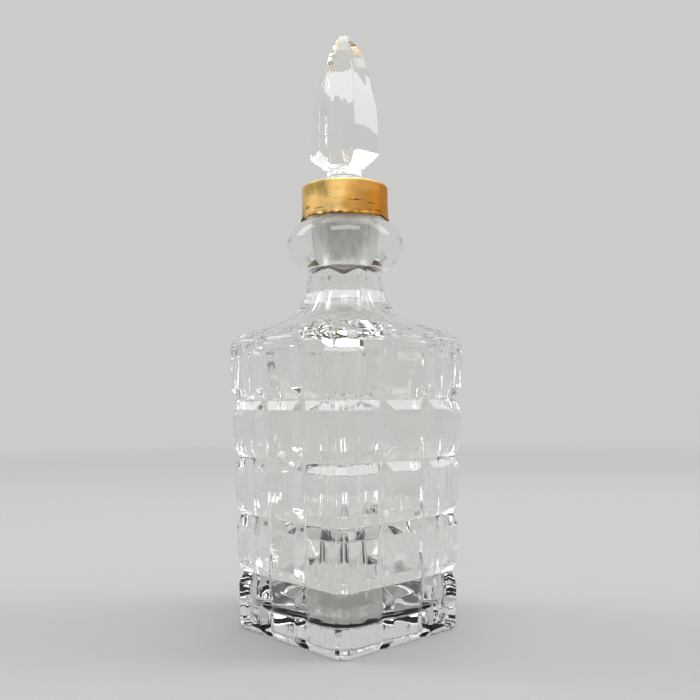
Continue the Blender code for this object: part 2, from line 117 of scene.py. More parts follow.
def ripple(points: Array, wavelength: float, phase: float) -> Array:
    """A slow uneven swell through space, from three crossed sine waves.

    Args:
        points: places, with the last axis holding x, y and z.
        wavelength: the distance over which the swell repeats, roughly.
        phase: shift that makes one swell unlike the next.

    Returns:
        One number for each place, between -1 and 1.
    """
    scale = 2.0 * math.pi / wavelength
    x, y, z = (points[..., axis] * scale for axis in range(3))
    first = np.sin(x * 0.83 + z * 0.47 + phase)
    second = np.sin(y * 0.91 - z * 0.58 + 1.7 * phase + 0.6)
    third = np.sin(z * 1.07 + x * 0.31 - y * 0.36 + 2.3 * phase + 1.9)
    return (first + second + third) / 3.0


def unit(direction: Array) -> Array:
    """A direction made one long."""
    return direction / np.linalg.norm(direction)


def circles(radius: Array, angle: Array) -> Array:
    """Plane points of circles: a ring for each radius, with a column for each angle."""
    return radius[:, None, None] * np.stack([np.cos(angle), np.sin(angle)], -1)


def raised(plane: Array, height: Array) -> Array:
    """Put rings of plane points at their heights.

    Args:
        plane: points by ring, column and axis.
        height: one height for each ring.

    Returns:
        Places by ring, column and axis.
    """
    level = np.broadcast_to(height[:, None, None], (*plane.shape[:2], 1))
    return np.concatenate([plane, level], axis=2)


def linked(name: str, data: bpy.types.ID) -> bpy.types.Object:
    """Put new data into the scene as an object at the origin."""
    made = bpy.data.objects.new(name, data)
    bpy.context.scene.collection.objects.link(made)
    return made


@dataclass
class Lattice:
    """A closed surface of rings of vertices.

    Attributes:
        rings: places by ring, column and axis. Columns run anticlockwise seen from above, and rings run from
            the bottom up the outside.
        join: whether the first and last ring close on a point each or on one another.
        falling: true for each cell whose diagonal falls from the next column's start to this one's end.
        second_finish: first and last row of cells that wear the second material.
    """

    rings: Array
    join: Join = Join.POLES
    falling: Array | None = None
    second_finish: tuple[int, int] | None = None

    def normals(self) -> Array:
        """Outward directions: the step along the columns crossed with the step up the rings."""
        along = np.roll(self.rings, -1, axis=1) - np.roll(self.rings, 1, axis=1)
        up = np.gradient(self.rings, axis=0)
        cross = np.cross(along, up)
        length = np.linalg.norm(cross, axis=2, keepdims=True)
        return cross / np.maximum(length, 1e-12)

    def triangles(self) -> Array:
        """Corner numbers of all triangles, two to a cell and a fan round each pole."""
        rows, columns = self.rings.shape[:2]
        number = np.arange(rows * columns).reshape(rows, columns)
        lower = number if self.join is Join.LOOP else number[:-1]
        upper = np.roll(number, -1, axis=0) if self.join is Join.LOOP else number[1:]
        a, b = lower, np.roll(lower, -1, axis=1)
        d, c = upper, np.roll(upper, -1, axis=1)
        falling = np.zeros(a.shape, bool) if self.falling is None else self.falling
        first = np.where(falling[..., None], np.stack([a, b, d], -1), np.stack([a, b, c], -1))
        second = np.where(falling[..., None], np.stack([b, c, d], -1), np.stack([a, c, d], -1))
        faces = [first.reshape(-1, 3), second.reshape(-1, 3)]
        if self.join is Join.POLES:
            start, end = number[0], number[-1]
            low, high = rows * columns, rows * columns + 1
            faces.append(np.stack([np.roll(start, -1), start, np.full(columns, low)], -1))
            faces.append(np.stack([end, np.roll(end, -1), np.full(columns, high)], -1))
        return np.concatenate(faces)

    def mesh(self, name: str) -> bpy.types.Mesh:
        """Put the lattice into a smooth-shaded mesh.

        Args:
            name: name of the mesh.

        Returns:
            The mesh, with each pole at the middle of its ring.
        """
        points = self.rings.reshape(-1, 3)
        if self.join is Join.POLES:
            points = np.concatenate([points, self.rings[:1].mean(axis=1), self.rings[-1:].mean(axis=1)])
        mesh = bpy.data.meshes.new(name)
        mesh.from_pydata(points.tolist(), [], self.triangles().tolist())
        mesh.polygons.foreach_set("use_smooth", np.ones(len(mesh.polygons), bool))
        if self.second_finish is not None:
            start, end = self.second_finish
            row = np.repeat(np.arange(len(self.rings) - 1), self.rings.shape[1])
            cell = ((row >= start) & (row < end)).astype(np.int32)
            fans = np.zeros(len(mesh.polygons) - 2 * len(cell), np.int32)
            mesh.polygons.foreach_set("material_index", np.concatenate([cell, cell, fans]))
        mesh.update()
        return mesh


def turned(profile: Array, columns: int, join: Join) -> Lattice:
    """Turn a profile about the Z axis.

    Each ring has the radius and height of one profile point, and its columns share the circle evenly.

    Args:
        profile: rows of radius and height.
        columns: vertices in a ring.
        join: how the ends close.

    Returns:
        The lattice.
    """
    angle = np.linspace(0.0, 2.0 * math.pi, columns, endpoint=False)
    return Lattice(raised(circles(profile[:, 0], angle), profile[:, 1]), join)


class Tree:
    """One material's or world's node tree, with short calls for the nodes that the finishes use."""

    def __init__(self, owner: bpy.types.Material | bpy.types.World) -> None:
        """Switch nodes on and clear them."""
        owner.use_nodes = True
        self.tree = owner.node_tree
        self.tree.nodes.clear()

    def node(self, kind: str, inputs: dict[str | int, object] | None = None,
             **settings: object) -> bpy.types.Node:
        """Add a node.

        Args:
            kind: its type name.
            inputs: values or sockets by input name or number.
            **settings: the node's own properties.

        Returns:
            The node.
        """
        made = self.tree.nodes.new(kind)
        for key, value in settings.items():
            setattr(made, key, value)
        for key, value in (inputs or {}).items():
            self.feed(made.inputs[key], value)
        return made

    def feed(self, target: Socket, value: object) -> None:
        """Link a socket or set a value on an input."""
        if isinstance(value, bpy.types.NodeSocket):
            self.tree.links.new(value, target)
        elif isinstance(value, tuple) and len(value) == 3 and target.type == "RGBA":
            target.default_value = (*value, 1.0)
        else:
            target.default_value = value

    def place(self, stretch: Vector3 = (1.0, 1.0, 1.0)) -> Socket:
        """Object coordinates, stretched along the axes."""
        source = self.node("ShaderNodeTexCoord").outputs["Object"]
        return self.node("ShaderNodeMapping", {"Vector": source, "Scale": stretch}).outputs["Vector"]

    def along(self, direction: Vector3) -> Socket:
        """How far a place lies along a direction, in metres."""
        made = self.node("ShaderNodeVectorMath", {0: self.place(), 1: direction}, operation="DOT_PRODUCT")
        return made.outputs["Value"]

    def noise(self, scale: float, detail: float = 4.0, rough: float = 0.5, twist: float = 0.0,
              stretch: Vector3 = (1.0, 1.0, 1.0)) -> Socket:
        """A noise value between 0 and 1, with about scale lumps to the metre."""
        made = self.node("ShaderNodeTexNoise", {
            "Vector": self.place(stretch), "Scale": scale, "Detail": detail, "Roughness": rough,
            "Distortion": twist})
        return made.outputs["Fac"]

    def remap(self, value: Socket, low: float, high: float, out_low: float, out_high: float) -> Socket:
        """Ease a value from one range to another, held at its ends."""
        made = self.node("ShaderNodeMapRange", {
            "Value": value, "From Min": low, "From Max": high, "To Min": out_low, "To Max": out_high},
            interpolation_type="SMOOTHSTEP")
        return made.outputs["Result"]

    def rise(self, value: Socket, low: float, high: float, top: float = 1.0) -> Socket:
        """Ease a value from 0, at low and under it, to top, at high and over it."""
        return self.remap(value, low, high, 0.0, top)

    def maths(self, operation: str, first: Socket | float, second: Socket | float) -> Socket:
        """One step of arithmetic."""
        return self.node("ShaderNodeMath", {0: first, 1: second}, operation=operation).outputs[0]

    def product(self, first: Socket | float, second: Socket | float) -> Socket:
        """One value times another."""
        return self.maths("MULTIPLY", first, second)

    def blend(self, factor: Socket, first: Socket | Colour, second: Socket | Colour) -> Socket:
        """Mix two colours: inputs 6 and 7 and output 2 are the mixing node's colours."""
        return self.node("ShaderNodeMix", {0: factor, 6: first, 7: second}, data_type="RGBA").outputs[2]

    def ramp(self, value: Socket, stops: tuple[tuple[float, Colour], ...]) -> Socket:
        """A colour ramp with eased stops."""
        made = self.node("ShaderNodeValToRGB", {"Fac": value})
        made.color_ramp.interpolation = "EASE"
        elements = made.color_ramp.elements
        while len(elements) < len(stops):
            elements.new(1.0)
        for element, (position, colour) in zip(elements, stops):
            element.position = position
            element.color = (*colour, 1.0)
        return made.outputs["Color"]

    def bump(self, height: Socket, strength: float, distance: float, below: Socket | None = None) -> Socket:
        """A bump normal from a height."""
        made = self.node("ShaderNodeBump", {"Height": height, "Strength": strength, "Distance": distance})
        if below is not None:
            self.feed(made.inputs["Normal"], below)
        return made.outputs["Normal"]

    def mixed(self, factor: Socket, first: bpy.types.Node, second: bpy.types.Node) -> bpy.types.Node:
        """Mix two shaders."""
        return self.node("ShaderNodeMixShader", {0: factor, 1: first.outputs[0], 2: second.outputs[0]})

    def finish(self, shader: bpy.types.Node, output: str = "ShaderNodeOutputMaterial") -> None:
        """Feed a shader to the output."""
        self.node(output, {"Surface": shader.outputs[0]})


class Finish:
    """What all finishes share. Their noise scales are in lumps to the metre."""

    def inputs(self, tree: Tree) -> dict[str, object]:
        """Values and sockets for the shader, by input name: each finish has its own."""
        raise NotImplementedError

    def material(self, name: str) -> bpy.types.Material:
        """Build the material.

        Args:
            name: name of the material.

        Returns:
            The material, with its patterns on Object coordinates.
        """
        made = bpy.data.materials.new(name)
        tree = Tree(made)
        tree.finish(tree.node("ShaderNodeBsdfPrincipled", self.inputs(tree)))
        return made


@dataclass(frozen=True)
class ClearGlass(Finish):
    """Polished clear glass with a faint warm grey body colour and worn, finger-marked skin."""

    tint: Colour = (0.965, 0.970, 0.962)
    shade: Colour = (0.925, 0.930, 0.915)
    refraction: float = 1.53
    polish: float = 0.004
    haze: float = 0.035
    swell: float = 0.10
    cords: float = 0.05
    cloud_scale: float = 38.0
    smear_scale: float = 120.0
    swell_scale: float = 70.0
    swell_depth: float = 1.2 * MM
    cord_scale: float = 260.0
    cord_depth: float = 0.25 * MM
    cord_stretch: Vector3 = (1.0, 1.0, 0.35)

    def inputs(self, tree: Tree) -> dict[str, object]:
        """Glass whose colour, roughness and slow cords vary from place to place."""
        cloud = tree.rise(tree.noise(self.cloud_scale, detail=3.0), 0.35, 0.70)
        marks = tree.noise(self.smear_scale, detail=5.0, rough=0.6, twist=0.8)
        smear = tree.rise(marks, 0.52, 0.74, self.haze)
        slow = tree.noise(self.swell_scale, detail=1.0, rough=0.4, twist=0.6)
        cords = tree.noise(self.cord_scale, detail=2.0, twist=0.3, stretch=self.cord_stretch)
        skin = tree.bump(cords, self.cords, self.cord_depth, tree.bump(slow, self.swell, self.swell_depth))
        return {"Base Color": tree.blend(cloud, self.tint, self.shade),
                "Roughness": tree.maths("ADD", smear, self.polish), "Normal": skin,
                "IOR": self.refraction, "Transmission Weight": 1.0}


@dataclass(frozen=True)
class WornGilt(Finish):
    """Thin satin gilding over brass: mottled and stained along its lower lip, with painted light and shade across it
    and a painted highlight along its top edge.

    Across one level direction the colour runs from an olive painted shade through a pale painted highlight and
    gold to a deep painted shade, and the tarnish is heavier on the olive side. A nick is its place along that
    direction and its height, then its half width and half height. The stain is whole and gone at two distances
    over the lower edge, and the painted rim highlight starts and is whole at two distances under the upper one.
    """

    # olive and deep also serve as the painted shade on either side, and pale as the painted highlight; stain is dirt.
    olive: Colour = (0.26, 0.18, 0.026)
    gold: Colour = (0.60, 0.32, 0.080)
    deep: Colour = (0.56, 0.205, 0.008)
    pale: Colour = (0.96, 0.64, 0.24)
    stain: Colour = (0.11, 0.055, 0.020)
    nicks: tuple[tuple[tuple[float, float], tuple[float, float]], ...] = (
        ((0.0056, 0.2061), (0.0048, 0.0005)), ((-0.0181, 0.2045), (0.0012, 0.0011)),
        ((-0.0037, 0.2068), (0.0022, 0.0003)), ((0.0128, 0.2052), (0.0030, 0.0003)),
        ((-0.0120, 0.2030), (0.0035, 0.0003)), ((0.0165, 0.2022), (0.0016, 0.0005)))
    nick_core: float = 0.35
    nick_fade: float = 2.0 * MM
    nick_strength: float = 0.9
    # Painted light and shade: the level direction, and the reach along it, over which the colour runs from painted
    # shade through a painted highlight to painted shade.
    painted_light_way: Vector3 = (0.678, 0.735, 0.0)
    painted_light_reach: tuple[float, float] = (-0.018, 0.019)
    base_roughness: float = 0.44
    edge_low: float = 0.1994
    edge_high: float = 0.2171
    lip_stain: tuple[float, float] = (0.4 * MM, 3.2 * MM)
    # Band under the top edge that is painted pale as a highlight, and made smoother.
    rim_highlight_band: tuple[float, float] = (1.6 * MM, 0.3 * MM)
    broad_scale: float = 32.0
    mottle_scale: float = 85.0
    patch_scale: float = 150.0
    tarnish_scale: float = 190.0
    speck_scale: float = 620.0
    break_scale: float = 700.0
    grain_scale: float = 900.0
    scratch_scale: float = 90.0
    scratch_stretch: Vector3 = (1.0, 1.0, 26.0)
    dent_depth: float = 0.8 * MM
    line_depth: float = 0.05 * MM

    def nick(self, tree: Tree, centre: tuple[float, float], reach: tuple[float, float]) -> Socket:
        """A soft oval mark on the side a quarter turn clockwise from the direction that the painted light and shade
        run along.

        It is whole where the sum of the squared shares of its reach is under the core, and ends where that
        sum is 1.

        Args:
            tree: the material's nodes.
            centre: place along the direction of the painted light and shade, and height.
            reach: half width and half height.

        Returns:
            A value that is 1 at the middle of the mark and 0 outside it.
        """
        way = self.painted_light_way
        across = tree.maths("DIVIDE", tree.maths("SUBTRACT", tree.along(way), centre[0]), reach[0])
        up = tree.maths("DIVIDE", tree.maths("SUBTRACT", tree.along(UP), centre[1]), reach[1])
        far = tree.maths("ADD", tree.product(across, across), tree.product(up, up))
        front = tree.rise(tree.along((way[1], -way[0], 0.0)), 0.0, self.nick_fade)
        return tree.product(tree.remap(far, self.nick_core, 1.0, 1.0, 0.0), front)

    def metal(self, tree: Tree, broad: Socket, mottle: Socket) -> Socket:
        """Colour of the metal with painted light and shade: olive painted shade, a pale painted highlight, gold and
        deep painted shade across one level direction, mottled and tarnished.

        Args:
            tree: the material's nodes.
            broad: the broad noise.
            mottle: the finer noise.

        Returns:
            The colour.
        """
        # Painted light and shade: olive painted shade on one side, a pale painted highlight band, then gold and a deep
        # painted shade on the other.
        side = tree.rise(tree.along(self.painted_light_way), *self.painted_light_reach)
        side = tree.maths("ADD", tree.product(side, 0.75), tree.rise(broad, 0.35, 0.65, 0.25))
        tone = tree.ramp(side, ((0.0, self.olive), (0.08, self.olive), (0.30, self.pale), (0.50, self.gold),
                                (1.0, self.deep)))
        tone = tree.blend(tree.rise(mottle, 0.50, 0.72, 0.22), tone, self.pale)
        spread = tree.noise(self.tarnish_scale, detail=6.0, rough=0.7, twist=0.3)
        # Tarnish patches, heavier on the olive painted-shade side, which deepens that painted shade.
        tarnish_and_painted_shade = tree.product(tree.rise(spread, 0.47, 0.66, 0.60), tree.remap(side, 0.05, 0.50, 1.0, 0.22))
        return tree.blend(tarnish_and_painted_shade, tone, self.olive)

    def dirt(self, tree: Tree, height: Socket) -> Socket:
        """Where the metal is dirty: in patches along its lip, in specks all over and in its nicks.

        Args:
            tree: the material's nodes.
            height: the place's height.

        Returns:
            A value from 0 for clean to 1.
        """
        specks = tree.rise(tree.noise(self.speck_scale, detail=3.0, rough=0.7), 0.66, 0.74, 0.7)
        near, far = self.lip_stain
        low = tree.remap(height, self.edge_low + near, self.edge_low + far, 1.0, 0.0)
        patch = tree.rise(tree.noise(self.patch_scale, detail=5.0, rough=0.7, twist=1.0), 0.42, 0.60)
        dirt = tree.maths("MAXIMUM", tree.product(low, patch), tree.product(specks, 0.55))
        broken = tree.remap(tree.noise(self.break_scale, detail=3.0, rough=0.7), 0.40, 0.52, 0.25, 1.0)
        for centre, reach in self.nicks:
            mark = tree.product(self.nick(tree, centre, reach), broken)
            dirt = tree.maths("MAXIMUM", dirt, tree.product(mark, self.nick_strength))
        return dirt

    def inputs(self, tree: Tree) -> dict[str, object]:
        """Metal with mottling, fine scratches round it, stains, painted light and shade across it and a painted
        highlight under its top edge.

        Args:
            tree: the material's nodes.

        Returns:
            The shader's values and sockets by input name.
        """
        height = tree.node("ShaderNodeSeparateXYZ", {"Vector": tree.place()}).outputs["Z"]
        mottle = tree.noise(self.mottle_scale, detail=5.0, rough=0.62, twist=0.7)
        broad = tree.noise(self.broad_scale, detail=2.0)
        dirt = self.dirt(tree, height)
        # Painted highlight: the colour turns pale, and the metal smoother, towards the top edge.
        start, end = self.rim_highlight_band
        rim = tree.rise(height, self.edge_high - start, self.edge_high - end, 0.8)
        tone = tree.blend(dirt, self.metal(tree, broad, mottle), self.stain)
        satin = tree.remap(mottle, 0.3, 0.7, self.base_roughness - 0.06, self.base_roughness + 0.12)
        rough = tree.maths("SUBTRACT", tree.maths("ADD", satin, tree.product(dirt, 0.25)),
                           tree.product(rim, 0.10))
        scratch = tree.noise(self.scratch_scale, detail=2.0, stretch=self.scratch_stretch)
        dents = tree.bump(broad, 0.25, self.dent_depth)
        lines = tree.bump(tree.rise(scratch, 0.56, 0.62), 0.10, self.line_depth, dents)
        grain = tree.noise(self.grain_scale, detail=3.0, rough=0.6)
        return {"Base Color": tree.blend(rim, tone, self.pale), "Roughness": rough,
                "Normal": tree.bump(grain, 0.12, self.line_depth, lines), "Metallic": 1.0}


@dataclass(frozen=True)
class MattFinish(Finish):
    """A soft or moulded matt finish with a mottled colour and a fine grain."""

    tone: Colour
    shade: Colour
    roughness: float
    scatter: float = 0.0
    scatter_depth: float = 3.0 * MM
    grain_scale: float = 420.0
    grain_depth: float = 0.12 * MM
    lump_scale: float = 60.0

    def inputs(self, tree: Tree) -> dict[str, object]:
        """A mottled matt surface, with light scattered below it where scatter is set."""
        lumps = tree.rise(tree.noise(self.lump_scale, rough=0.55, twist=0.4), 0.35, 0.68)
        grain = tree.noise(self.grain_scale, rough=0.6)
        return {"Base Color": tree.blend(lumps, self.tone, self.shade),
                "Roughness": tree.remap(grain, 0.3, 0.7, self.roughness - 0.08, self.roughness + 0.08),
                "Normal": tree.bump(grain, 0.25, self.grain_depth),
                "Subsurface Weight": self.scatter, "Subsurface Scale": self.scatter_depth}


@dataclass(frozen=True)
class GroundGlass(Finish):
    """The neck's ground seat: glass with a matt, speckled, milky skin."""

    tone: Colour = (0.93, 0.93, 0.90)
    shade: Colour = (0.74, 0.74, 0.70)
    refraction: float = 1.53
    clear_share: float = 0.62
    roughness: float = 0.42
    speck_scale: float = 480.0
    speck_depth: float = 0.30 * MM
    smear_scale: float = 210.0

    def inputs(self, tree: Tree) -> dict[str, object]:
        """Partly clear glass with a rough, mottled and speckled skin."""
        speck = tree.noise(self.speck_scale, rough=0.65, twist=0.3)
        smear = tree.noise(self.smear_scale, rough=0.6)
        return {"Base Color": tree.blend(tree.rise(speck, 0.42, 0.62), self.tone, self.shade),
                "Roughness": tree.remap(smear, 0.3, 0.7, self.roughness - 0.14, self.roughness + 0.14),
                "Normal": tree.bump(speck, 0.55, self.speck_depth),
                "IOR": self.refraction, "Transmission Weight": self.clear_share}


def add_piece(name: str, lattice: Lattice, material: bpy.types.Material, node: str, body: CadBody) -> bpy.types.Object:
    """Make a piece from a lattice and put it in its CAD node's stead.

    Args:
        name: name of the piece.
        lattice: its surface, in place.
        material: its finish.
        node: the CAD node that it stands for.
        body: the body that it rides on.

    Returns:
        The piece.
    """
    mesh = lattice.mesh(name)
    mesh.materials.append(material)
    piece = linked(name, mesh)
    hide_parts(node)
    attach(piece, body.value)
    LOG.info("%s stands for %s with %d triangles", name, node, len(mesh.polygons))
    return piece


@dataclass
class Bottle:
    """The bottle: block body, hollow shoulder, eight-sided neck, glass ring, mouth and the hollow inside.

    Offsets are millimetres from the middle of a groove. Shares place rings between two heights, or shrink the
    floor's. A wave is the wavelength and phase of the ripple that a swell follows.
    """

    base_width: float = 0.0781
    top_width: float = 0.0860
    body_height: float = 0.1417
    chamfer: float = 0.0046
    base_bevel: tuple[float, float] = (0.0016, 0.0032)
    rim_bevel: float = 0.0046
    groove_depth: float = 0.0024
    groove_half_width: float = 0.0050
    first_groove: float = 0.0272
    groove_pitch: float = 0.0279
    grooves: int = 4
    shoulder_rise: float = 0.0266
    shoulder_radius: float = 0.0215
    neck_half: float = 0.0187
    neck_flare: float = 0.0003
    neck_length: float = 0.0070
    hip_swell: float = 0.0030
    ring_middle: float = 0.0151
    ring_thickness: float = 0.0140
    ring_half_height: float = 0.0128
    mouth_radius: float = 0.0197
    mouth_rise: float = 0.0115
    lip_round: float = 0.0014
    bore_radius: float = 0.0110
    bore_taper: float = 0.0005
    wall: float = 0.0058
    hollow_corner: float = 0.0120
    floor_thickness: float = 0.0105
    floor_round: float = 0.0060
    shoulder_wall: float = 0.0050
    bearing_width: float = 0.0100
    recess: tuple[float, float] = (0.0020, 0.0012)
    edge_round: float = 0.0005
    neck_edge_round: float = 0.0016
    vee_soft: float = 0.0003
    ground_end: float = 0.1775
    glass: ClearGlass = field(default_factory=ClearGlass)
    ground: GroundGlass = field(default_factory=GroundGlass)
    offsets: Shares = (0.25, 0.7, 1.8, 3.2, 4.3, 4.75, 5.1, 5.6)
    corner_points: int = 13
    arc_points: int = 5
    vee_ease: float = 0.0016
    vee_fade: float = 0.35
    mitre_power: float = 10.0
    bevel_power: float = 1.7
    bevel_shares: Shares = (0.0, 0.06, 0.2, 0.4, 0.62, 0.82, 0.95, 1.06)
    between_shares: Shares = (0.3, 0.65)
    rim_power: float = 1.8
    rim_shares: Shares = (-1.4, -0.5, 0.04, 0.2, 0.36, 0.5, 0.63, 0.74, 0.83, 0.90, 0.95, 0.985, 1.0)
    slope_shares: Shares = (0.0, 0.02, 0.08, 0.25, 0.5, 0.75, 0.92)
    floor_shares: Shares = (0.96, 0.85, 0.65, 0.4, 0.15, 0.02)
    floor_dip: float = 0.25 * MM
    least_step: float = 0.05 * MM
    hollow_ease: float = 1.5 * MM
    hollow_blend: float = 8.0 * MM
    skin_swell: float = 0.035 * MM
    skin_wave: tuple[float, float] = (0.021, 0.4)
    broad_swell: float = 0.32 * MM
    broad_wave: tuple[float, float] = (0.031, 2.1)
    fine_swell: float = 0.11 * MM
    fine_wave: tuple[float, float] = (0.011, 5.2)

    def half_width(self, height: Array | float) -> Array | float:
        """Distance of the block facets from the axis: it grows evenly from the base to the rim."""
        return 0.5 * (self.base_width + (self.top_width - self.base_width) * height / self.body_height)

    def hip_distance(self, height: Array | float) -> Array | float:
        """Distance of the corner facets: root two times the half width, less the chamfer over root two."""
        return SQRT2 * self.half_width(height) - self.chamfer / SQRT2

    def rim_hip(self) -> float:
        """Distance of the corner facets where the shoulder starts, inside the rim."""
        return self.hip_distance(self.body_height) - self.groove_depth

    def groove_middles(self) -> Array:
        """Heights of the middles of the grooves that run round."""
        return self.first_groove + self.groove_pitch * np.arange(self.grooves)

    def vee(self, across: Array) -> Array:
        """Depth of a groove at a distance from its middle.

        The depth falls in a straight line to nothing at the half width. The bottom is eased by a small
        hyperbola in the distance, and the upper edges by another in the depth.

        Args:
            across: distance from the middle of the groove.

        Returns:
            The depth there.
        """
        far = np.sqrt(across * across + self.vee_soft ** 2) - self.vee_soft
        share = 1.0 - far / self.groove_half_width
        eased = 0.5 * (share + np.sqrt(share * share + self.vee_ease))
        fade = smooth_step((share + self.vee_fade) / self.vee_fade)
        return self.groove_depth * np.where(share < -self.vee_fade, 0.0, eased * fade)

    def mirrored_offsets(self) -> Array:
        """Sample distances on both sides of a groove's middle, in metres."""
        half = np.array(self.offsets) * MM
        return np.concatenate([-half[::-1], [0.0], half])

    def side_columns(self) -> tuple[Array, Array, Array]:
        """How the columns across one side follow its edges and grooves.

        A column's place is its edge weight times the edge distance, plus its groove weight times the groove
        distance, plus its offset.

        Returns:
            Edge weights, groove weights and offsets.
        """
        near = self.mirrored_offsets()
        last = self.offsets[-1] * MM
        outer = np.array([0.35, 0.7])
        inner = np.array([-0.5, 0.0, 0.5])
        edge = np.concatenate([-(1.0 - outer), 0.0 * near, 0.0 * inner, 0.0 * near, (1.0 - outer)[::-1]])
        groove = np.concatenate([-outer, 0.0 * near - 1.0, inner, 0.0 * near + 1.0, outer[::-1]])
        shift = np.concatenate([-outer * last, near, -inner * last, near, outer[::-1] * last])
        return edge, groove, shift

    def section(self, face: Array, hip: Array, rounding: Array, cut: Array, grooved: bool) -> Array:
        """Eight-sided rings with rounded edges.

        The faces and corner facets move in by the cut. An inner eight-sided figure, smaller by the rounding,
        carries an arc of that radius at each of its points. Across a side the depth is the cut and the
        upright groove joined by a high power mean, so that their flanks meet in a mitre.

        Args:
            face: distance of the sides for each ring.
            hip: distance of the corner facets for each ring.
            rounding: radius of the upright edges for each ring.
            cut: depth of the cut that runs round, for each ring.
            grooved: true where the upright grooves run.

        Returns:
            Plane points by ring, column and axis.
        """
        face, hip, rounding, cut = (np.asarray(value, float)[:, None] for value in (face, hip, rounding, cut))
        inner_face = face - cut - rounding
        edge = SQRT2 * (hip - cut - rounding) - inner_face
        turn = np.radians(np.linspace(0.0, 45.0, self.arc_points))
        across_x = inner_face + rounding * np.cos(turn)
        across_y = edge + rounding * np.sin(turn)
        edge_weight, groove_weight, shift = self.side_columns()
        groove = face / 3.0
        if grooved:
            place = edge_weight * edge + groove_weight * groove + shift
            upright = self.vee(np.abs(place) - groove)
            power = self.mitre_power
            depth = (np.abs(cut) ** power + upright ** power) ** (1.0 / power)
        else:
            place = self.column_shares() * edge
            depth = cut + 0.0 * place
        side_x = face - depth
        start = np.stack([across_x[:, ::-1], -across_y[:, ::-1]], -1)
        middle = np.stack([side_x, place], -1)
        end = np.stack([across_x, across_y], -1)
        share = np.linspace(0.0, 1.0, self.corner_points + 2)[1:-1, None]
        from_end = end[:, -1:, :]
        to_start = np.stack([across_y[:, -1:], across_x[:, -1:]], -1)
        corner = from_end + (to_start - from_end) * share
        quarter = np.concatenate([start, middle, end, corner], axis=1)
        x, y = quarter[..., 0], quarter[..., 1]
        turns = [(x, y), (-y, x), (-x, -y), (y, -x)]
        return np.concatenate([np.stack(pair, -1) for pair in turns], axis=1)

    def column_shares(self) -> Array:
        """Places of a side's columns at the rim, as shares of the edge distance there."""
        face = self.half_width(self.body_height)
        edge = SQRT2 * self.hip_distance(self.body_height) - face - (SQRT2 - 1.0) * (
            self.groove_depth + self.edge_round)
        edge_weight, groove_weight, shift = self.side_columns()
        return (edge_weight * edge + groove_weight * face / 3.0 + shift) / edge

    def body_rows(self) -> tuple[Array, Array]:
        """Heights of the block body's rings and how deep the cut that runs round is there.

        The base bevel is a quarter of a superellipse, the grooves are vees, and the rim rounds over on a
        curve that starts slowly and ends level.

        Returns:
            Heights and cuts.
        """
        depth, rise = self.base_bevel
        share = np.array(self.bevel_shares)
        near = self.mirrored_offsets()
        between = np.array(self.between_shares)
        parts = [share * rise]
        cuts = [depth * (1.0 - np.minimum(share, 1.0)) ** self.bevel_power]
        for middle in self.groove_middles():
            before = parts[-1][-1]
            parts.extend([before + (middle + near[0] - before) * between, middle + near])
            cuts.extend([0.0 * between, self.vee(near)])
        top = np.array(self.rim_shares)
        inside = np.clip(top, 0.0, 1.0)
        parts.append(self.body_height - self.rim_bevel + top * self.rim_bevel)
        cuts.append(self.groove_depth * (1.0 - np.sqrt(1.0 - inside ** self.rim_power)))
        return np.concatenate(parts), np.concatenate(cuts)

    def shoulder_line(self) -> tuple[Array, Array, Array]:
        """The corner line of the shoulder: a straight slope from the rim that runs into a hollow arc.

        Returns:
            Distance of the corner facet, height and slope angle for each ring, from the rim to the neck.
        """
        top = self.body_height + self.shoulder_rise
        rim = self.rim_hip()
        centre = self.neck_half + self.shoulder_radius
        across = rim - centre
        reach = math.hypot(across, self.shoulder_rise)
        slope = math.atan2(self.shoulder_rise, across) - math.asin(self.shoulder_radius / reach)
        touch = (centre - self.shoulder_radius * math.sin(slope),
                 top - self.shoulder_radius * math.cos(slope))
        share = np.array(self.slope_shares)
        angle = np.linspace(slope, 0.5 * math.pi, 26)
        hip = np.concatenate([rim + (touch[0] - rim) * share, centre - self.shoulder_radius * np.sin(angle)])
        height = np.concatenate([self.body_height + (touch[1] - self.body_height) * share,
                                 top - self.shoulder_radius * np.cos(angle)])
        return hip, height, np.concatenate([slope + 0.0 * share, angle])

    def shoulder_share(self, hip: Array) -> Array:
        """How far out along the shoulder a corner facet lies: 0 at the neck and 1 at the rim."""
        return np.clip((hip - self.neck_half) / (self.rim_hip() - self.neck_half), 0.0, 1.0)

    def shoulder_face(self, hip: Array) -> Array:
        """Distance of the side panels.

        The corner panel's width goes from the neck's to the rim's with the fourth power of the share, and
        swells by a parabola between. The side panels lie where panels of that width leave them.

        Args:
            hip: distance of the corner panels.

        Returns:
            Distance of the side panels.
        """
        share = self.shoulder_share(hip)
        rim_face = self.half_width(self.body_height) - self.groove_depth
        neck_panel = (SQRT2 - 1.0) * 2.0 * self.neck_half
        rim_panel = 2.0 * (SQRT2 * rim_face - self.rim_hip())
        swell = 4.0 * self.hip_swell * share * (1.0 - share)
        width = neck_panel + (rim_panel - neck_panel) * share ** 4 + swell
        return (width + 2.0 * hip) / (2.0 * SQRT2)

    def ring_profile(self) -> Array:
        """Radius and height of the ring and mouth, from just over the ring's foot to the lip's inner edge."""
        foot = self.body_height + self.shoulder_rise + self.neck_length
        foot_angle = math.acos((self.neck_half + self.neck_flare - self.ring_middle) / self.ring_thickness)
        top_angle = math.acos((self.mouth_radius - self.ring_middle) / self.ring_thickness)
        middle = foot + self.ring_half_height * math.sin(foot_angle)
        mouth = middle + self.ring_half_height + self.mouth_rise
        angle = np.linspace(-foot_angle, top_angle, 41)[1:]
        ring = np.stack([self.ring_middle + self.ring_thickness * np.cos(angle),
                         middle + self.ring_half_height * np.sin(angle)], 1)
        outer = arc((self.mouth_radius - self.lip_round, mouth - self.lip_round), self.lip_round, 0, 90, 5)
        inner = arc((self.bore_radius + self.lip_round, mouth - self.lip_round), self.lip_round, 90, 180, 5)
        return np.concatenate([ring, outer, inner])

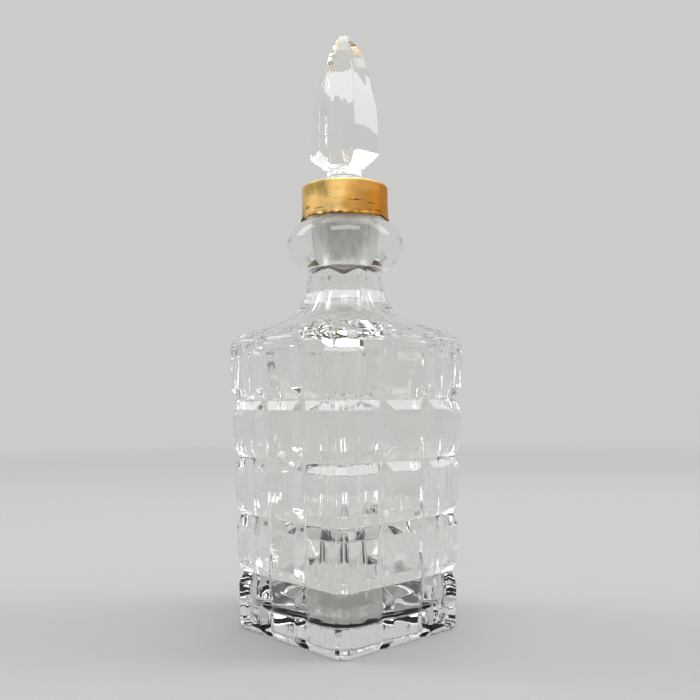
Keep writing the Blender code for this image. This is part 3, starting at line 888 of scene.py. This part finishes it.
    def hollow_section(self, face: Array, corner: Array, angle: Array) -> Array:
        """Square rings with rounded corners.

        Columns within an eighth of a half turn of a side's middle share its straight run evenly. The rest
        share the corner's arc, turning twice as fast as their own angle.

        Args:
            face: half width for each ring.
            corner: corner radius for each ring.
            angle: the columns' angles about the axis.

        Returns:
            Plane points by ring, column and axis.
        """
        face, corner = (np.asarray(value, float)[:, None] for value in (face, corner))
        quarter = np.floor(2.0 * angle / math.pi + 0.5)
        local = angle - 0.5 * math.pi * quarter
        eighth = math.pi / 8.0
        straight = face - corner
        turn = np.clip(np.abs(local) - eighth, 0.0, None) * 2.0
        x = straight + corner * np.cos(turn)
        y = np.where(np.abs(local) < eighth, straight * local / eighth,
                     np.sign(local) * (straight + corner * np.sin(turn)))
        cosine, sine = np.cos(0.5 * math.pi * quarter), np.sin(0.5 * math.pi * quarter)
        return np.stack([x * cosine - y * sine, x * sine + y * cosine], -1)

    def hollow_rows(self) -> tuple[Array, Array, Array]:
        """Half width, corner radius and height of the hollow's rings, from the bore to the floor's edge.

        Under the shoulder the hollow follows the outside at a wall that thins from the neck to the rim.
        Down the body it keeps an even wall, and it rounds into the floor on a quarter circle.

        Returns:
            Half widths, corner radii and heights.
        """
        hip, height, slope = (values[::-1] for values in self.shoulder_line())
        bore = self.bore_radius - self.bore_taper
        share = self.shoulder_share(hip)
        neck_wall = self.neck_half - bore
        wall = neck_wall + (self.shoulder_wall - neck_wall) * share
        level = height - wall * np.cos(slope)
        under = self.shoulder_face(hip) - wall * np.sin(slope)
        side = self.half_width(level) - self.wall
        meet = np.sqrt((under - side) ** 2 + self.hollow_ease ** 2)
        face = np.maximum(0.5 * (under + side - meet), bore)
        corner = np.minimum(self.hollow_corner + (face - self.hollow_corner) * (1.0 - share), face)
        keep = np.concatenate([[True], np.diff(level) < -self.least_step])
        face, corner, level = face[keep], corner[keep], level[keep]
        floor_top = self.floor_thickness + self.floor_round
        down = level[-1] + (floor_top - level[-1]) * np.linspace(0.0, 1.0, 20)[1:]
        carried = face[-1] + (self.half_width(down) - self.half_width(level[-1]))
        blend = smooth_step((level[-1] - down) / self.hollow_blend)
        down_face = carried + (self.half_width(down) - self.wall - carried) * blend
        angle = np.radians(np.linspace(0.0, 90.0, 11)[1:])
        drawn = self.floor_round * (1.0 - np.cos(angle))
        low = floor_top - self.floor_round * np.sin(angle)
        faces = np.concatenate([face, down_face, self.half_width(low) - self.wall - drawn])
        corners = np.concatenate([corner, 0.0 * down + self.hollow_corner, self.hollow_corner - drawn])
        return faces, corners, np.concatenate([level, down, low])

    def underside(self, ring: Array) -> tuple[Array, Array]:
        """The shallow recess under the base and the flat border round it that the bottle stands on.

        Args:
            ring: the lowest ring of the block body, as plane points.

        Returns:
            Plane points and heights of the rings, from the middle outwards.
        """
        base_half = self.half_width(0.0) - self.base_bevel[0]
        slope, rise = self.recess
        border = (base_half - self.bearing_width) / base_half
        inner = (base_half - self.bearing_width - slope) / base_half
        shares = np.array([0.02, 0.3, 0.6, 0.9 * inner, inner, inner + 0.1 * (border - inner),
                           border - 0.1 * (border - inner), border, border + 0.01, 0.97])
        lifts = np.array([1.0, 1.0, 1.0, 1.0, 0.98, 0.88, 0.12, 0.02, 0.0, 0.0]) * rise
        return ring * shares[:, None, None], lifts

    def rings(self) -> tuple[Array, int, int]:
        """All rings in order: underside, block body, shoulder, neck, ring, lip, bore, hollow and floor.

        Returns:
            The rings, the number of the first body ring and the number of the first ring inside.
        """
        heights, cuts = self.body_rows()
        soft = np.full(len(heights), self.edge_round)
        body = self.section(self.half_width(heights), self.hip_distance(heights), soft, cuts, True)
        under, lifts = self.underside(body[:1])
        hip, level, _slope = self.shoulder_line()
        share = self.shoulder_share(hip)
        rounding = self.neck_edge_round + (self.edge_round - self.neck_edge_round) * share
        shoulder = self.section(self.shoulder_face(hip), hip, rounding, 0.0 * hip, False)
        flat = shoulder[-1]
        angle = np.arctan2(flat[:, 1], flat[:, 0])
        climb = np.linspace(0.0, 1.0, 13)[1:]
        mix = smooth_step(climb)[:, None, None]
        neck = flat * (1.0 - mix) + circles(self.neck_half + self.neck_flare * climb ** 2, angle) * mix
        ring = self.ring_profile()
        bore_level = np.linspace(ring[-1, 1], level[-1], 15)[1:-1]
        drop = (ring[-1, 1] - bore_level) / (ring[-1, 1] - level[-1])
        bore = self.bore_radius - self.bore_taper * drop
        hollow_face, hollow_corner, hollow_level = self.hollow_rows()
        hollow = self.hollow_section(hollow_face, hollow_corner, np.unwrap(angle))
        inward = np.array(self.floor_shares)
        plane = np.concatenate([
            under, body, shoulder[1:], neck, circles(np.concatenate([ring[:, 0], bore]), angle), hollow,
            hollow[-1:] * inward[:, None, None]])
        levels = np.concatenate([
            lifts, heights, level[1:], level[-1] + self.neck_length * climb, ring[:, 1], bore_level,
            hollow_level, hollow_level[-1] - self.floor_dip * np.sin(inward * math.pi)])
        inside = len(under) + len(body) + len(shoulder) - 1 + len(neck) + len(ring)
        return raised(plane, levels), len(under), inside

    def diagonals(self, rings: Array, first: int) -> Array:
        """Say which cells have a falling diagonal, so that the grooves' mitres run along cell edges.

        A cell's diagonal falls where it lies up one way and across the other way from the nearest crossing.

        Args:
            rings: all rings.
            first: number of the first ring of the block body.

        Returns:
            True for each cell with a falling diagonal.
        """
        heights, _cuts = self.body_rows()
        middles = self.groove_middles()
        centre = 0.5 * (heights[:-1] + heights[1:])
        up = centre - middles[np.argmin(np.abs(centre[:, None] - middles), axis=1)]
        _edge, _groove, shift = self.side_columns()
        across = 0.5 * (shift + np.roll(shift, -1))
        arcs = np.ones(self.arc_points)
        quarter = np.concatenate([arcs, across, -arcs, np.zeros(self.corner_points)])
        falling = np.zeros((len(rings) - 1, 4 * len(quarter)), bool)
        falling[first:first + len(centre)] = up[:, None] * np.tile(quarter, 4) < 0.0
        return falling

    def lattice(self) -> Lattice:
        """Build the surface, with a faint swell in the outer skin and a stronger one in the hollow."""
        rings, first, inside = self.rings()
        made = Lattice(rings, Join.POLES, self.diagonals(rings, first))
        row = np.arange(len(rings))
        outer = smooth_step((row - first - 3) / 6.0) * (row < inside - 14)
        inner = smooth_step((row - inside - 16) / 10.0) * smooth_step((len(rings) - 2 - row) / 4.0)
        skin = self.skin_swell * (ripple(rings, *self.skin_wave) - 1.0) * outer[:, None]
        swell = self.broad_swell * ripple(rings, *self.broad_wave) + self.fine_swell * ripple(
            rings, *self.fine_wave)
        made.rings = rings + made.normals() * (skin + swell * inner[:, None])[..., None]
        level = rings[inside - 1:, :, 2].mean(axis=1)
        made.second_finish = (inside - 1, inside - 1 + int(np.argmax(level < self.ground_end)))
        return made

    def build(self) -> None:
        """Make the piece, with the ground seat as a second material in the bore."""
        piece = add_piece("bottle_glass", self.lattice(), self.glass.material("bottle_crystal"), "bottle",
                          CadBody.DECANTER)
        piece.data.materials.append(self.ground.material("bottle_ground_seat"))


@dataclass
class Finial:
    """The solid glass finial: a peg and a beaded foot under a six-sided bullet with bowed edges.

    The underside curve has shares of the way out, and the share of the rise and the roundness at each. The
    facet wave is the wavelength and phase of the ripple that the sides are ground to.
    """

    foot_bottom: float = 0.217393
    foot_height: float = 0.0092
    foot_radius: float = 0.0083
    foot_bead: float = 0.0004
    peg_radius: float = 0.0059
    peg_length: float = 0.0135
    peg_chamfer: float = 0.0006
    underside_height: float = 0.0065
    straight_height: float = 0.0087
    ogive_height: float = 0.0551
    radius: float = 0.0178
    turn_degrees: float = 33.5
    side_power: float = 1.4
    height_power: float = 2.2
    sides: int = 6
    edge_round: float = 0.00035
    underside_shares: Shares = (0.04, 0.09, 0.14, 0.22, 0.30, 0.46, 0.62, 0.75, 0.88, 0.96, 0.985)
    underside_curve: tuple[Shares, Shares, Shares] = (
        (0.0, 0.14, 0.30, 0.62, 1.0), (0.0, 0.04, 0.14, 0.50, 1.0), (1.0, 0.8, 0.4, 0.1, 0.0))
    tip_steps: Shares = (0.99965, 0.9999)
    facet_swell: float = 0.07 * MM
    facet_wave: tuple[float, float] = (0.030, 3.3)
    glass: ClearGlass = field(default_factory=lambda: ClearGlass(swell=0.16, cords=0.10, haze=0.05))

    def widest(self) -> float:
        """Height where the underside ends and the sides are widest."""
        return self.foot_bottom + self.foot_height + self.underside_height

    def rows(self) -> tuple[Array, Array, Array]:
        """Radius, roundness and height of the rings, from the peg's end to just under the tip.

        Over the straight part the radius falls as the outer radius times the 1.4th root of one less the
        share to the power 2.2, the share being the height up the pointed part.

        Returns:
            Radii, roundnesses and heights.
        """
        peg_end = self.foot_bottom - self.peg_length
        foot_share = np.linspace(0.0, 1.0, 13)
        bead = 0.5 * self.foot_bead * (1.0 - np.cos(4.0 * math.pi * foot_share))
        foot = self.foot_bottom + self.foot_height * foot_share
        out = np.array(self.underside_shares)
        reach, climb, rounds = self.underside_curve
        base = self.widest()
        step = np.sin(0.5 * math.pi * np.linspace(0.0, 1.0, 41)[:-1])
        step = np.concatenate([step, self.tip_steps])
        side = self.radius * (1.0 - step ** self.height_power) ** (1.0 / self.side_power)
        radius = np.concatenate([[self.peg_radius - self.peg_chamfer, self.peg_radius, self.peg_radius],
                                 self.foot_radius + bead,
                                 self.foot_radius + (self.radius - self.foot_radius) * out,
                                 [self.radius - 0.05 * MM, self.radius, self.radius], side])
        roundness = np.concatenate([
            np.ones(3 + len(foot)), np.interp(out, reach, rounds), np.zeros(3 + len(side))])
        height = np.concatenate([
            [peg_end, peg_end + self.peg_chamfer, self.foot_bottom - 0.01 * MM], foot,
            self.foot_bottom + self.foot_height + self.underside_height * np.interp(out, reach, climb),
            [base, base + 0.25 * MM, base + 0.5 * self.straight_height],
            base + self.straight_height + self.ogive_height * step])
        return radius, roundness, height

    @staticmethod
    def edge_arc(inner: Array, rounding: Array, middle: float, turn: Array) -> Array:
        """Points of the small arc at one of the figure's points.

        Args:
            inner: distance of the arc's middle from the axis, for each ring.
            rounding: radius of the arc, for each ring.
            middle: direction of the figure's point.
            turn: angles of the arc's points from that direction.

        Returns:
            Plane points by ring, column and axis.
        """
        return np.stack([inner * math.cos(middle) + rounding * np.cos(middle + turn),
                         inner * math.sin(middle) + rounding * np.sin(middle + turn)], -1)

    def lattice(self) -> Lattice:
        """Build the surface.

        Each ring is a six-sided figure with small arcs at its points, drawn towards a circle of the same
        reach by the roundness. The sides are ground a little unevenly.

        Returns:
            The lattice.
        """
        radius, roundness, height = (values[:, None] for values in self.rows())
        half = math.pi / self.sides
        rounding = np.minimum(self.edge_round, 0.4 * radius)
        inner = (radius * math.cos(half) - rounding) / math.cos(half)
        turn = np.linspace(-half, half, 5)
        share = np.linspace(0.0, 1.0, 11)[1:-1]
        parts = []
        for side in range(self.sides):
            middle = math.radians(self.turn_degrees) + 2.0 * half * side
            edge = self.edge_arc(inner, rounding, middle, turn)
            following = self.edge_arc(inner, rounding, middle + 2.0 * half, turn[:1])
            last = edge[:, -1:, :]
            parts.extend([edge, last + (following - last) * share[:, None]])
        plane = np.concatenate(parts, axis=1)
        angle = np.arctan2(plane[..., 1], plane[..., 0])
        circle = np.stack([np.cos(angle), np.sin(angle)], -1) * radius[..., None]
        plane = plane + (circle - plane) * roundness[..., None]
        rings = raised(plane, height[:, 0])
        made = Lattice(rings)
        free = (1.0 - roundness) * smooth_step((height - self.widest()) / (4.0 * MM))
        ground = self.facet_swell * (1.0 + ripple(rings, *self.facet_wave)) * free
        made.rings = rings - made.normals() * ground[..., None]
        return made

    def build(self) -> None:
        """Make the piece."""
        add_piece("finial_glass", self.lattice(), self.glass.material("finial_crystal"), "finial",
                  CadBody.STOPPER)


@dataclass
class CapShell:
    """The cap: a thin drawn cup over the mouth, with a rolled top edge, dents and an uneven curled lip.

    A dent is its angle, its share of the height, its half width as an angle, its half height as a share, and
    its depth in millimetres.
    """

    top: float = 0.217093
    bottom: float = 0.199414
    wall: float = 0.0006
    inner_radius: float = 0.0210
    flare: float = 0.0002
    edge_round: float = 0.0010
    curl: float = 0.0004
    hole: float = 0.0062
    columns: int = 192
    top_sag: float = 0.12 * MM
    skirt_margin: float = 1.5 * MM
    lip_lift: float = 0.45 * MM
    lip_share: float = 0.12
    dents: tuple[Shares, ...] = (
        (-0.95, 0.16, 0.30, 0.10, 0.28), (-0.30, 0.10, 0.22, 0.14, 0.16), (0.55, 0.55, 0.30, 0.20, 0.12),
        (2.2, 0.25, 0.26, 0.16, 0.25), (-2.3, 0.45, 0.34, 0.20, 0.20), (-1.45, 0.6, 0.16, 0.1, 0.12))
    gilt: WornGilt = field(default_factory=WornGilt)

    def profile(self) -> Array:
        """The closed section, from the curl up the outside, over the top, and back under it."""
        outer = self.inner_radius + self.wall
        skirt = outer + self.flare
        curl = arc((skirt, self.bottom + self.curl), self.curl, -90, 90, 8)
        climb = np.linspace(0.0, 1.0, 15)[1:-1]
        low, high = self.bottom + 2.0 * self.curl, self.top - self.edge_round
        outside = np.stack([skirt + (outer - skirt) * smooth_step(climb), low + (high - low) * climb], 1)
        edge = arc((outer - self.edge_round, high), self.edge_round, 0, 90, 8)
        across = np.linspace(0.0, 1.0, 9)[1:]
        flat_start = outer - self.edge_round
        over = np.stack([flat_start + (self.hole - flat_start) * across, 0.0 * across + self.top], 1)
        over[:-1, 1] -= self.top_sag * np.sin(math.pi * across[:-1])
        under = over[::-1] - [0.0, self.wall]
        inside_edge = arc((flat_start, high), self.edge_round - self.wall, 90, 0, 8)
        inside = outside[::-1] - [self.wall, 0.0]
        return np.concatenate([curl, outside, edge, over, under, inside_edge, inside,
                               [[skirt - self.wall, self.bottom + 0.02 * MM]]])

    def lattice(self) -> Lattice:
        """Build the surface: the turned section with dents pressed in and the lip lifted unevenly."""
        made = turned(self.profile(), self.columns, Join.LOOP)
        x, y, height = (made.rings[..., axis] for axis in range(3))
        radius, angle = np.hypot(x, y), np.arctan2(y, x)
        rise = (height - self.bottom) / (self.top - self.bottom)
        pressed = np.zeros(angle.shape)
        for centre, level, wide, tall, depth in self.dents:
            off = (angle - centre + math.pi) % (2.0 * math.pi) - math.pi
            pressed += depth * MM * np.exp(-(off / wide) ** 2 - ((rise - level) / tall) ** 2)
        shrink = 1.0 - pressed * (radius > self.inner_radius - self.skirt_margin) / radius
        lift = 0.5 + 0.28 * np.sin(3.0 * angle + 0.7) + 0.22 * np.sin(7.0 * angle + 2.0)
        lift = lift + 0.9 * np.exp(-((angle + 1.02) / 0.13) ** 2)
        low = smooth_step(1.0 - rise / self.lip_share)
        made.rings = np.stack([x * shrink, y * shrink, height + self.lip_lift * lift * low], -1)
        return made

    def build(self) -> None:
        """Make the piece."""
        add_piece("cap_gilt", self.lattice(), self.gilt.material("cap_worn_gilt"), "cap_shell",
                  CadBody.STOPPER)


@dataclass
class StopperPlug:
    """The milky plug: a flange over the lip, a ribbed shank in the bore and a socket for the peg."""

    mouth: float = 0.211893
    flange_bottom: float = 0.213993
    flange_top: float = 0.216193
    flange_radius: float = 0.0192
    length: float = 0.0336
    bore_radius: float = 0.0110
    neck_level: float = 0.1683
    bore_taper: float = 0.0005
    clearance: float = 0.0003
    rib_rise: float = 0.0006
    rib_half: float = 0.0012
    rib_pitch: float = 0.0075
    ribs: int = 3
    lip_round: float = 0.0014
    end_taper: float = 0.0010
    end_round: float = 0.0015
    wall: float = 0.0030
    socket_radius: float = 0.0080
    socket_bottom: float = 0.203593
    web: float = 0.0040
    edge_round: float = 0.5 * MM
    corner_cut: float = 0.3 * MM
    columns: int = 96
    plastic: MattFinish = field(default_factory=lambda: MattFinish(
        (0.94, 0.93, 0.89), (0.84, 0.83, 0.78), 0.42, scatter=0.6, lump_scale=150.0))

    def shank(self, height: Array) -> Array:
        """Radius of the shank: the bore's, less the clearance and rib, and tapering evenly to the end."""
        down = np.clip((self.mouth - height) / (self.mouth - self.neck_level), 0.0, 1.0)
        return (self.bore_radius - self.bore_taper * down - self.clearance - self.rib_rise
                - self.end_taper * (self.mouth - height) / self.length)

    def profile(self) -> Array:
        """The closed section, from the axis under the web, round the shank and flange to the socket."""
        edge, cut, socket = self.edge_round, self.corner_cut, self.socket_radius
        end = self.mouth - self.length
        web_bottom = self.socket_bottom - self.web
        tip = float(self.shank(np.array(end)))
        height = np.linspace(end + self.end_round, self.mouth, 85)
        rib = np.zeros(len(height))
        for index in range(self.ribs):
            middle = self.mouth - self.lip_round - (index + 1) * self.rib_pitch
            rib = rib + self.rib_rise * np.exp(-((height - middle) / (0.6 * self.rib_half)) ** 2)
        shank = np.stack([self.shank(height) + rib, height], 1)
        inner = tip - self.wall
        start = [[cut, web_bottom], [inner - edge, web_bottom], [inner, web_bottom - edge],
                 [inner, end + cut], [inner + cut, end]]
        nose = arc((tip - self.end_round, end + self.end_round), self.end_round, -90, 0, 6)[:-1]
        root = float(self.shank(np.array(self.mouth)))
        flange = arc((self.flange_radius - edge, self.flange_bottom + edge), edge, -90, 0, 3)
        crown = arc((self.flange_radius - edge, self.flange_top - edge), edge, 0, 90, 3)
        neck = [[root, self.flange_bottom - cut], [root + cut, self.flange_bottom]]
        rest = [[socket + cut, self.flange_top], [socket, self.flange_top - cut],
                [socket, self.socket_bottom + cut], [socket - cut, self.socket_bottom],
                [cut, self.socket_bottom]]
        return np.concatenate([start, nose, shank, neck, flange, crown, rest])

    def build(self) -> None:
        """Make the piece."""
        lattice = turned(self.profile(), self.columns, Join.POLES)
        add_piece("plug_milky", lattice, self.plastic.material("plug_milky_moulding"), "stopper_plug",
                  CadBody.STOPPER)


@dataclass
class HiddenSeals:
    """The gasket and the cement, which keep their CAD meshes."""

    rubber: MattFinish = MattFinish((0.42, 0.40, 0.36), (0.30, 0.28, 0.25), 0.72, grain_scale=700.0)
    cement: MattFinish = MattFinish((0.74, 0.71, 0.64), (0.60, 0.57, 0.50), 0.86, grain_scale=900.0)

    def dress(self) -> None:
        """Give both nodes their finishes."""
        for node, finish in (("lip_gasket", self.rubber), ("bonding_cement", self.cement)):
            made = finish.material(f"{node}_finish")
            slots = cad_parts[node].material_slots
            for place in slots:
                place.material = made
            LOG.info("%s keeps its CAD mesh in %d slots", node, len(slots))


def aim(thing: bpy.types.Object, right: Array, back: Array, place: Vector3) -> None:
    """Stand a lamp or camera at a place, with its first axis to the right and its view against back."""
    matrix = np.eye(4)
    matrix[:3] = np.stack([right, np.cross(back, right), back, place], axis=1)
    thing.matrix_world = Matrix(matrix.tolist())


@dataclass(frozen=True)
class SoftBox:
    """A rectangular lamp: its middle, what it points at, its width and height, and its power.

    One that is hidden from matt surfaces only gives highlights.
    """

    name: str
    place: Vector3
    target: Vector3
    size: tuple[float, float]
    watts: float
    lights_matt: bool = True

    def hang(self) -> None:
        """Make the lamp and turn it to its target. Its width stays level unless it points nearly down."""
        lamp = bpy.data.lights.new(self.name, "AREA")
        lamp.shape = "RECTANGLE"
        lamp.size, lamp.size_y = self.size
        lamp.energy = self.watts
        back = unit(np.array(self.place) - np.array(self.target))
        helper = (0.0, 1.0, 0.0) if abs(back[2]) > 0.95 else UP
        made = linked(self.name, lamp)
        made.visible_diffuse = self.lights_matt
        aim(made, unit(np.cross(helper, back)), back, self.place)


@dataclass
class Studio:
    """The pale floor and background, the soft lights and the camera."""

    background: Colour = (0.60, 0.60, 0.59)
    floor_near: Colour = (0.66, 0.66, 0.65)
    floor_radii: Shares = (0.02, 0.2, 0.6, 1.2, 2.4, 4.0, 8.0)
    fade_start: float = 0.55
    fade_end: float = 1.80
    boxes: tuple[SoftBox, ...] = (
        SoftBox("overhead_box", (0.1, 0.1, 1.55), (0.0, 0.0, 0.1), (1.3, 1.3), 11.0),
        SoftBox("left_box", (-1.05, -0.75, 1.15), (0.0, 0.0, 0.12), (0.6, 0.9), 5.0),
        SoftBox("right_box", (0.85, 0.95, 1.15), (0.0, 0.0, 0.12), (0.6, 0.9), 5.0),
        SoftBox("front_box", (0.62, -0.56, 1.05), (0.0, 0.0, 0.16), (1.10, 0.45), 8.0, lights_matt=False))
    camera_place: Vector3 = (0.2944, -0.2689, 0.1103)
    camera_look: Vector3 = (-0.7334, 0.6769, 0.0626)
    camera_right: Vector3 = (0.6779, 0.7351, -0.0075)
    lens: float = 41.22
    sensor: float = 36.0
    clip: tuple[float, float] = (0.01, 50.0)
    ambient: float = 0.42
    bounces: int = 32

    @staticmethod
    def seen(tree: Tree) -> Socket:
        """1 for camera, glossy and transmission rays, so that metal and glass show what the camera sees."""
        light = tree.node("ShaderNodeLightPath")
        bent = tree.maths("ADD", light.outputs["Is Glossy Ray"], light.outputs["Is Transmission Ray"])
        return tree.maths("MINIMUM", tree.maths("ADD", bent, light.outputs["Is Camera Ray"]), 1.0)

    def world(self) -> None:
        """Light matt surfaces evenly, and show one plain background to the camera, to metal and to glass."""
        world = bpy.data.worlds.new("soft_room")
        bpy.context.scene.world = world
        tree = Tree(world)
        flat = tree.node("ShaderNodeBackground", {"Color": (1.0, 1.0, 1.0), "Strength": self.ambient})
        plain = tree.node("ShaderNodeBackground", {"Color": self.background, "Strength": 1.0})
        tree.finish(tree.mixed(self.seen(tree), flat, plain), "ShaderNodeOutputWorld")

    def floor(self) -> None:
        """A wide disc that is plain and pale under the object and fades into the background far out."""
        radius = np.array(self.floor_radii)
        angle = np.linspace(0.0, 2.0 * math.pi, 96, endpoint=False)
        rings = raised(circles(radius, angle), 0.0 * radius)
        number = np.arange(rings[..., 0].size).reshape(rings.shape[:2])
        a, d = number[:-1], number[1:]
        quads = np.stack([a, d, np.roll(d, -1, 1), np.roll(a, -1, 1)], -1).reshape(-1, 4)
        mesh = bpy.data.meshes.new("floor")
        mesh.from_pydata(rings.reshape(-1, 3).tolist(), [], quads.tolist() + [number[0].tolist()])
        made = bpy.data.materials.new("pale_floor")
        tree = Tree(made)
        far = tree.node("ShaderNodeVectorMath", {0: tree.place()}, operation="LENGTH").outputs["Value"]
        fade = tree.product(tree.rise(far, self.fade_start, self.fade_end), self.seen(tree))
        matt = tree.node("ShaderNodeBsdfDiffuse", {"Color": self.floor_near, "Roughness": 0.5})
        glow = tree.node("ShaderNodeEmission", {"Color": self.background, "Strength": 1.0})
        tree.finish(tree.mixed(fade, matt, glow))
        mesh.materials.append(made)
        linked("floor", mesh)

    def camera(self) -> None:
        """Set the camera at the photograph's place, angle and lens."""
        data = bpy.data.cameras.new("photo_camera")
        data.sensor_width = self.sensor
        data.lens = self.lens
        data.clip_start, data.clip_end = self.clip
        back = -unit(np.array(self.camera_look))
        right = np.array(self.camera_right)
        right = unit(right - back * float(right @ back))
        made = linked("photo_camera", data)
        aim(made, right, back, self.camera_place)
        bpy.context.scene.camera = made

    def build(self) -> None:
        """Make the whole studio."""
        self.camera()
        self.world()
        self.floor()
        for box in self.boxes:
            box.hang()
        scene = bpy.context.scene
        scene.view_settings.view_transform = "Standard"
        scene.cycles.max_bounces = self.bounces
        scene.cycles.transmission_bounces = self.bounces
        scene.cycles.glossy_bounces = self.bounces


def main() -> None:
    """Build the studio and the pieces in order, and report them."""
    Studio().build()
    Bottle().build()
    Finial().build()
    CapShell().build()
    StopperPlug().build()
    HiddenSeals().dress()


if __name__ == "__main__":
    main()
